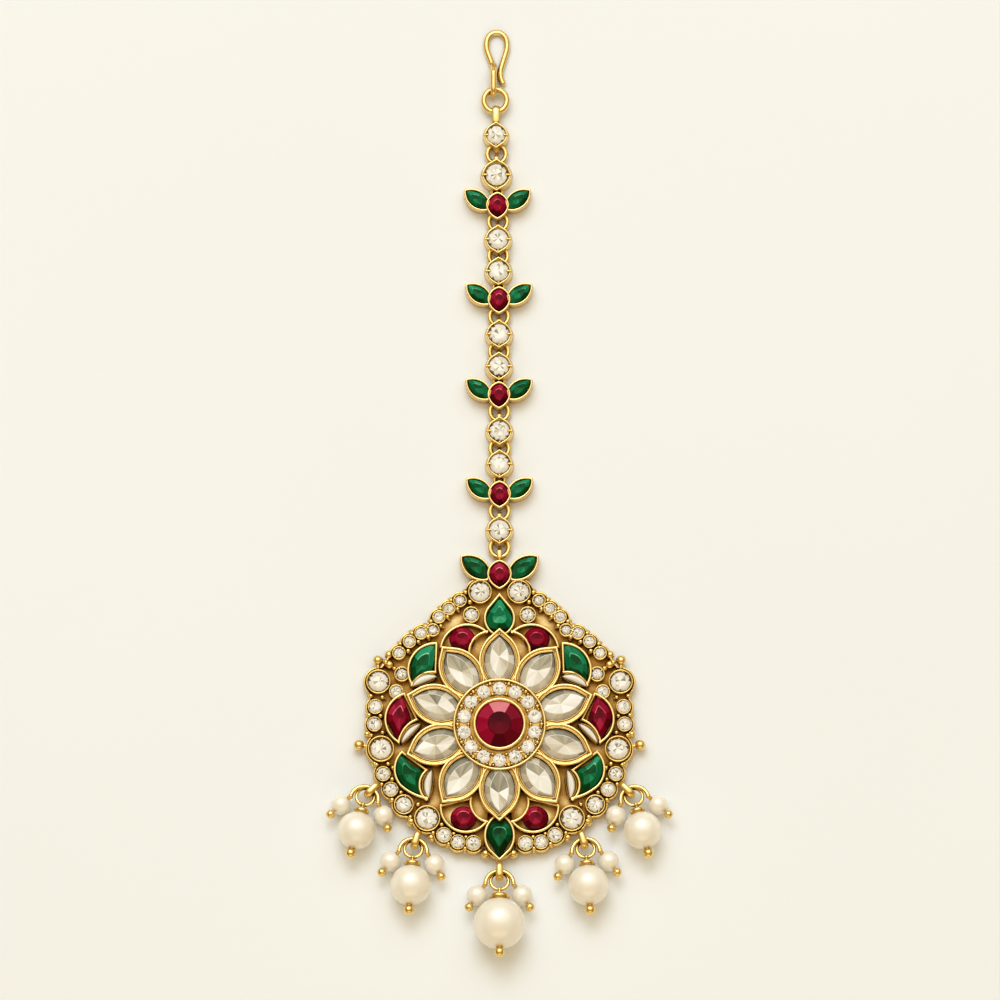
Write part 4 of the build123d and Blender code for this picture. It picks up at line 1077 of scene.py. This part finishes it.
def notch_beads(shape, first, second):
    """Gold grains in the two notches between neighbouring bezels."""
    x1, y1, r1 = first
    x2, y2, r2 = second
    gap = hypot(x2 - x1, y2 - y1)
    dx, dy = (x2 - x1) / gap, (y2 - y1) / gap
    middle = r1 + (gap - r1 - r2) / 2
    aside = 0.66 * min(r1, r2) + 0.12
    for hand in SIDES:
        x = x1 + dx * middle - dy * hand * aside
        y = y1 + dy * middle + dx * hand * aside
        size = draw.uniform(0.4, 0.5)
        shape.ball((x, y, 1.9), size, around=14)
        shape.ball((x - dy * hand * 0.34, y + dx * hand * 0.34, 1.6), 0.8 * size, around=12)


shape = Shape()
for side in SIDES:
    rows = [(side * x, y, rim_r) for x, y, rim_r, stone_r in BORDER]
    for first, second in zip(rows, rows[1:]):
        notch_beads(shape, first, second)
    for x, y, z, bead_r in BEADS:
        shape.ball((side * x, y, z), BEAD_SWELL * bead_r)
    for x, y, knob_r, root_x, root_y in KNOBS:
        shape.ball((side * x, y, KNOB_Z), knob_r, around=28)
        shape.tube([(side * root_x, root_y, KNOB_Z), (side * x, y, KNOB_Z)], 0.34)
        collar_x, collar_y = between((x, y), (root_x, root_y), 0.25)
        shape.ball((side * collar_x, collar_y, KNOB_Z), 0.46)
for x, y, rim_r, stone_r in border_rows:
    count, grain_r = (4, 0.13) if stone_r < 1.3 else (8, 0.09)
    for px, py in circle_outline(x, y, stone_r + 0.02, count, draw.uniform(0, pi / 2)):
        shape.ball((px, py, 2.32), grain_r, around=8)
shape.piece("gold_grains", GOLD, "gold", SETTING)

shape = Shape()
add_leaf_cluster(shape, CREST, CREST_RUBY_SCALE, CREST_LEAF_SCALE)
shape.piece("crest", GOLD_PALE, "gold", SETTING)

# ---- pendant stones
# petal stones: heights of foot, edge, border top, table edge and apex; outer and inner tips of the
# pointed oval and its half width; facets on each side; painted facet tones of shade and highlight, drawn by
# chance
PETAL_FOOT_Z, PETAL_EDGE_Z, PETAL_RAIL_Z, PETAL_TABLE_Z, PETAL_APEX_Z = 2.3, 2.86, 3.26, 3.38, 3.47
OVAL_TIP, OVAL_HEEL, OVAL_HALF_WIDTH = 14.15, 7.3, 1.55
PETAL_FACETS = 7
SHADE = (0.3, 0.36, 0.44)
LIGHT = (1.0, 0.9, 0.82, 0.72, 0.6)
FLUTE = (-0.12, -0.05, 0.0, 0.05, 0.13, 0.24)


def upward(place, centre):
    """How far the way from a centre to a place points towards +Y, from -1 to 1."""
    x, y = place[0] - centre[0], place[1] - centre[1]
    return y / (hypot(x, y) or 1)


def add_petal_stone(shape, angle):
    """A long rose-cut stone with painted light: a fluted border in a painted champagne reflection of the
    gold, painted darker towards +Y, a painted bright edge and a pointed star-cut table with a painted grey
    wedge of shade towards +Y.
    """
    around = 2 * PETAL_FACETS
    girdle = turned(half_lines(inset(petal_outline(), WALL + LEDGE + 0.04), PETAL_FACETS), angle)
    tip, heel, middle_x = (OVAL_TIP, 0), (OVAL_HEEL, 0), (OVAL_TIP + OVAL_HEEL) / 2
    oval = arc_points(tip, (middle_x, OVAL_HALF_WIDTH), heel)
    oval = half_lines(oval + arc_points(heel, (middle_x, -OVAL_HALF_WIDTH), tip), PETAL_FACETS)
    edge = turned(oval, angle)
    rail = raised(turned(inset(oval, 0.1), angle), PETAL_TABLE_Z)
    apex = (*turned([(draw.uniform(10.3, 11.2), draw.uniform(-0.25, 0.25))], angle)[0], PETAL_APEX_Z)
    middle = turned([(10.7, 0)], angle)[0]
    shape.loft([raised(girdle, z) for z in (PETAL_FOOT_Z, PETAL_EDGE_Z)], 0.3, flat=True)
    # painted light: border facets are a painted champagne reflection, darker towards +Y; the edge above is a
    # painted bright line
    for k in range(around):
        after = (k + 1) % around
        up = upward(between(girdle[k], girdle[after], 0.5), middle)
        quad = raised([girdle[k], girdle[after]], PETAL_EDGE_Z) + raised([edge[after], edge[k]], PETAL_RAIL_Z)
        shape.facet(quad, 0.44 - 0.11 * up + draw.choice(FLUTE))
    shape.loft([raised(edge, PETAL_RAIL_Z), rail], 1.0, flat=True)
    # painted shade: a grey wedge of facets on the table's +Y side, painted highlights elsewhere
    grey = draw.choice(SHADE)
    for k in range(0, around, 2):
        first, corner, last = [rail[j % around] for j in (k, k + 1, k + 2)]
        up = upward(corner, apex)
        tone = grey + draw.uniform(-0.04, 0.08) if up > 0.6 else draw.choice(LIGHT) - 0.12 * max(0.0, up)
        shape.facet([first, corner, apex], tone)
        shape.facet([corner, last, apex], tone + draw.uniform(-0.14, 0.1))


for number, turn in enumerate(petal_turns, start=1):
    shape = Shape()
    add_petal_stone(shape, turn)
    shape.piece(f"petal_crystal_{number}", CLEAR, "clear_stone", [f"petal_stone_{number}"])

shape = Shape()
for k in range(HALO_COUNT):
    turn = pi / 2 + 2 * pi * k / HALO_COUNT
    add_brilliant(shape, HALO_PITCH * cos(turn), HALO_PITCH * sin(turn), HALO_STONE_R, *HALO_STONE_Z)
shape.piece("halo_brilliants", CLEAR, "clear_stone", ["halo_stones"])

shape = Shape()
for x, y, rim_r, stone_r in border_rows:
    wall = rim_r - stone_r
    radius = stone_r if wall > 0.2 else rim_r - 0.17
    add_brilliant(shape, x, y, radius, 1.5, 2.1 if wall < 0.3 else 2.0, 2.5)
shape.piece("border_brilliants", CLEAR, "clear_stone", ["border_stones"])

# centre ruby: heights of its edge and crown top, table radius, facets of the table's bevel
CENTRE_EDGE_Z, CENTRE_CROWN_Z = 3.95, 4.72
CENTRE_TABLE_R = 1.9
BEVEL_FACETS = 24
# crown facets: the angle in degrees where each starts, anticlockwise from the right, and its tone: a painted
# highlight on the top facet, painted shade on the lowest
CROWN = [
    (63, 0.98), (117, 0.62), (161, 0.56), (204, 0.50), (247, 0.12), (290, 0.24), (333, 0.36),
    (377, 0.42),
]


def add_centre_ruby(shape):
    """The round ruby: broad crown facets of painted brightness, brightest on top as a painted highlight, and
    a dark table with a narrow bevel, both painted darker towards +Y.
    """
    rim = circle_outline(0, 0, CENTRE_RUBY_R, 96)
    shape.loft([raised(rim, z) for z in (3.0, CENTRE_EDGE_Z)], 0.1)
    steps = 8
    for (start, tone), (end, _) in zip(CROWN, CROWN[1:] + [(CROWN[0][0] + 360, 0)]):
        turns = [radians(start + (end - start) * k / steps) for k in range(steps + 1)]
        points = [(CENTRE_RUBY_R * cos(a), CENTRE_RUBY_R * sin(a), CENTRE_EDGE_Z) for a in turns]
        inner = (turns[-1], turns[0])
        points += [(CENTRE_TABLE_R * cos(a), CENTRE_TABLE_R * sin(a), CENTRE_CROWN_Z) for a in inner]
        shape.facet(points, tone)
    outer = raised(circle_outline(0, 0, CENTRE_TABLE_R, BEVEL_FACETS), CENTRE_CROWN_Z)
    inner = raised(circle_outline(0, 0, CENTRE_TABLE_R - 0.12, BEVEL_FACETS), CENTRE_CROWN_Z + 0.05)
    ups = [sin(2 * pi * (k + 0.5) / BEVEL_FACETS) for k in range(BEVEL_FACETS)]
    shape.add(outer + inner, band(BEVEL_FACETS), [0.12 - 0.1 * up for up in ups], flat=True)
    middle = (0, 0.25, CENTRE_CROWN_Z + 0.06)
    shape.add(inner + [middle], fan(BEVEL_FACETS), [0.17 - 0.12 * up for up in ups], flat=True)


shape = Shape()
add_centre_ruby(shape)
shape.piece("centre_stone", RUBY, "ruby", ["centre_ruby"])

for colour, material, level in (("ruby", RUBY, 0.36), ("emerald", EMERALD, 0.44)):
    places = [(kind, side) for kind in CELLS if colour in kind for side in SIDES]
    for number, (kind, side) in enumerate(places, start=1):
        if kind in ROUND_RUBIES:
            x, y, half_x, half_y = ROUND_RUBIES[kind]
            girdle = [(side * x + half_x * a, y + half_y * b) for a, b in circle_outline(0, 0, 1, 12)]
        else:
            swell, points = CELL_STONES[kind]
            girdle = spread([(side * x, y) for x, y in points], swell)
        shape = Shape()
        add_cut_stone(shape, smoothed(girdle), *CELL_STONE_Z, level=level)
        name = f"{colour}_{number}"
        shape.piece(f"set_{name}", material, colour, [name])
for number, (bright, points) in enumerate(POINTED_STONES, start=5):
    girdle = spread(points + [(-x, y) for x, y in reversed(points) if x > 0], 1.1)
    shape = Shape()
    add_cut_stone(shape, smoothed(girdle), *CELL_STONE_Z, level=bright, table_level=bright + 0.12)
    shape.piece(f"set_emerald_{number}", EMERALD, "emerald", [f"emerald_{number}"])


# ---- drops
def drop_sides():
    """Every drop with its side: the middle one once, the others right and left."""
    rows = [(DROPS[0], 1)]
    for row in DROPS[1:]:
        rows += [(row, 1), (row, -1)]
    return rows


def drop_point(row, side, across, along, height):
    """A place in a drop's own directions."""
    turn = radians(row[3])
    x = row[0] + across * cos(turn) - along * sin(turn)
    y = row[1] + across * sin(turn) + along * cos(turn)
    return Vector((side * x, y, height))


def drop_plane(row, side, along, height):
    """The tilted plane of a drop's rings as a matrix."""
    turn, rise = radians(side * row[3]), radians(DROP_TILT)
    across = Vector((cos(turn), sin(turn), 0))
    normal = Vector((-sin(rise) * sin(turn), sin(rise) * cos(turn), cos(rise)))
    other = normal.cross(across)
    origin = drop_point(row, side, 0, along, height - along * tan(rise))
    matrix = Matrix((across, other, normal)).transposed().to_4x4()
    matrix.translation = origin
    return matrix


def middle_of(node):
    """A node's centre and half its height, in millimetres."""
    low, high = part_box(node)
    return (low + high) / 2 / MM, (high.z - low.z) / 2 / MM


def add_bail(shape, row, side):
    """The tapering strap that a drop's ring hangs from."""
    turn = radians(row[2])
    run = Vector((-side * sin(turn), cos(turn), 0))
    across = Vector((run.y, -run.x, 0))
    middle = Vector((side * row[0], row[1], BAIL_Z)) + run * (BAIL_LENGTH / 2)
    path = loop_path(middle, run, BAIL_LENGTH - 2 * BAIL_THICK, BAIL_HEIGHT - 2 * BAIL_THICK)
    half = BAIL_WIDTH / 2
    widths = [half * (0.88 - 0.12 * (point - middle).normalized().dot(run)) for point in path]
    shape.tube(path, widths, closed=True, flatten=BAIL_THICK / (0.88 * half), across=across, around=20)


def add_side_pearls(wires, pearls, row, side):
    """A drop's half ring with a small pearl, its wire and its end ball at each side."""
    half_ring = drop_plane(row, side, -ARC_SHIFT, DROP_WIRE_Z + ARC_LIFT)
    wires.tube(ring_path(half_ring, ARC_R, pi, 28), ARC_WIRE, caps=False)
    small_r = row[4]
    for hand in SIDES:
        knot = half_ring @ Vector((side * hand * ARC_R, 0, 0))
        small, ball = [
            drop_point(row, side, hand * across * small_r, along * small_r, height * small_r)
            for across, along, height in (SIDE_PEARL, SIDE_BALL)
        ]
        wires.ball(knot, 0.42)
        for share in (0.1, 0.2):
            wires.ball(knot.lerp(small, share), 0.36, around=14)
        wires.tube([knot, small], 0.2)
        wires.tube([small, ball], 0.2)
        wires.ball(ball, SIDE_BALL_R * small_r, around=28)
        pearls.ball(small, small_r, around=64)


def add_pin(pin, row, side, pearl_middle, pearl_r):
    """The pin of a large pearl: knob on the drop ring, cap, end ring and end ball."""
    knob = drop_point(row, side, 0, -DROP_RING_R * cos(radians(DROP_TILT)), DROP_WIRE_Z)
    knob.z += DROP_RING_R * sin(radians(DROP_TILT)) + DROP_RING_WIRE + 0.22 - ARC_LIFT
    axis = (pearl_middle - knob).normalized()
    plane = axis.to_track_quat("Z", "Y").to_matrix().to_4x4()
    # the cap as (radius, depth below the pearl's surface)
    cap_r = 0.4 * pearl_r
    cap = [(0.3, -0.9), (0.5, -0.82), (cap_r - 0.5, -0.72), (cap_r - 0.12, -0.62), (cap_r, -0.44)]
    cap += [(cap_r + 0.02, -0.2), (cap_r - 0.06, -0.02), (cap_r - 0.2, 0.16), (0.4, 0.2)]
    rings = []
    for ring_r, along in cap:
        plane.translation = pearl_middle - axis * (pearl_r - along)
        rings.append([tuple(point) for point in ring_path(plane, ring_r, count=40)])
    pin.loft(rings, cap_start=True, cap_end=True)
    pin.ball(knob, 0.36)
    pin.tube([knob, pearl_middle - axis * (pearl_r + 0.4)], 0.22)
    plane.translation = pearl_middle + axis * (pearl_r + 0.08)
    pin.tube(ring_path(plane, 0.4, count=28), 0.17, closed=True)
    pin.ball(pearl_middle + axis * (pearl_r + END_BALL_REACH), END_BALL_R, around=32)


rings, wires, pearls, bails = Shape(), Shape(), Shape(), Shape()
for number, (row, side) in enumerate(drop_sides(), start=1):
    ring_plane = drop_plane(row, side, 0, DROP_WIRE_Z - ARC_LIFT)
    rings.tube(ring_path(ring_plane, DROP_RING_R), DROP_RING_WIRE, closed=True)
    add_side_pearls(wires, pearls, row, side)
    add_bail(bails, row, side)
    pearl_middle, pearl_r = middle_of(f"drop_pearl_{number}")
    shape = Shape()
    shape.ball(pearl_middle, pearl_r, around=96)
    shape.piece(f"pearl_{number}", PEARL, "pearl", [f"drop_pearl_{number}"])
    shape = Shape()
    add_pin(shape, row, side, pearl_middle, pearl_r)
    shape.piece(f"pearl_pin_{number}", GOLD, "gold", [f"drop_pin_{number}"])
rings.piece("drop_ring_wires", GOLD, "gold", ["drop_rings"])
wires.piece("side_wire_set", GOLD, "gold", ["side_wires"])
pearls.piece("side_pearls", PEARL, "pearl", ["small_pearls"])
bails.piece("drop_bails", GOLD, "gold", SETTING)

# ---- stage, light and camera
FLOOR = (0.885, 0.925, 0.985)
FLOOR_REACH = 6.0
ROOM = [(0.0, (0.52, 0.36, 0.13)), (0.3, (0.33, 0.23, 0.08)), (1.0, (0.60, 0.42, 0.17))]
VIEW_CENTRE = Vector((0.00008, 0.03698, 0))
ELEVATION = radians(80)
LENS = 1200
FIELD = 0.16
SENSOR = 36


def add_floor():
    """A plain pale floor."""
    material, tree, shader = node_material("floor_paper")
    set_inputs(shader, {"Roughness": 0.9, "Specular IOR Level": 0.1})
    pale = tuple(0.985 * value for value in FLOOR)
    add_colours(tree, add_noise(tree, 9, 2), [(0.3, pale), (0.7, FLOOR)], shader.inputs["Base Color"])
    mesh = bpy.data.meshes.new("floor")
    corners = [(x * FLOOR_REACH, y * FLOOR_REACH, 0) for x, y in ((-1, -1), (1, -1), (1, 1), (-1, 1))]
    mesh.from_pydata(corners, [], [(0, 1, 2, 3)])
    mesh.materials.append(material)
    floor = add_object("floor", mesh)


def add_panel(name, place, target, size, power, colour):
    """A soft lamp that the camera doesn't see."""
    light = bpy.data.lights.new(name, "AREA")
    light.shape = "ELLIPSE"
    light.size, light.size_y = size
    light.energy = power
    light.color = colour
    lamp = add_object(name, light)
    lamp.location = place
    lamp.rotation_euler = (Vector(target) - Vector(place)).to_track_quat("-Z", "Y").to_euler()
    lamp.visible_camera = False


def add_world():
    """A warm, dim room, darkest a little above the horizon."""
    world = bpy.data.worlds.new("room")
    bpy.context.scene.world = world
    world.use_nodes = True
    tree = world.node_tree
    place = tree.nodes.new("ShaderNodeTexCoord")
    split = tree.nodes.new("ShaderNodeSeparateXYZ")
    tree.links.new(place.outputs["Generated"], split.inputs["Vector"])
    add_colours(tree, split.outputs["Z"], ROOM, tree.nodes["Background"].inputs["Color"])


def add_camera():
    """The camera high above the piece, a little on the pearls' side."""
    camera = bpy.data.cameras.new("camera")
    camera.lens = LENS
    camera.sensor_width = SENSOR
    camera.clip_start = 0.05
    distance = FIELD * LENS / SENSOR
    eye = add_object("camera", camera)
    eye.location = VIEW_CENTRE + Vector((0, -cos(ELEVATION), sin(ELEVATION))) * distance
    eye.rotation_euler = (pi / 2 - ELEVATION, 0, 0)
    bpy.context.scene.camera = eye


add_floor()
add_panel("overhead", (0, 1.1, 1.75), (0, 0.2, 0), (4.2, 3.2), 31.5, (0.755, 0.9, 1.0))
add_panel("key", (-0.15, 0.9, 1.45), (0, 0.03, 0), (1.15, 0.95), 10, (0.9, 0.96, 1.0))
add_panel("fill", (0, -1.7, 0.9), (0, 0, 0), (2.6, 1.0), 6, (1.0, 0.9, 0.72))
add_world()
add_camera()
bpy.context.scene.view_settings.view_transform = "Standard"
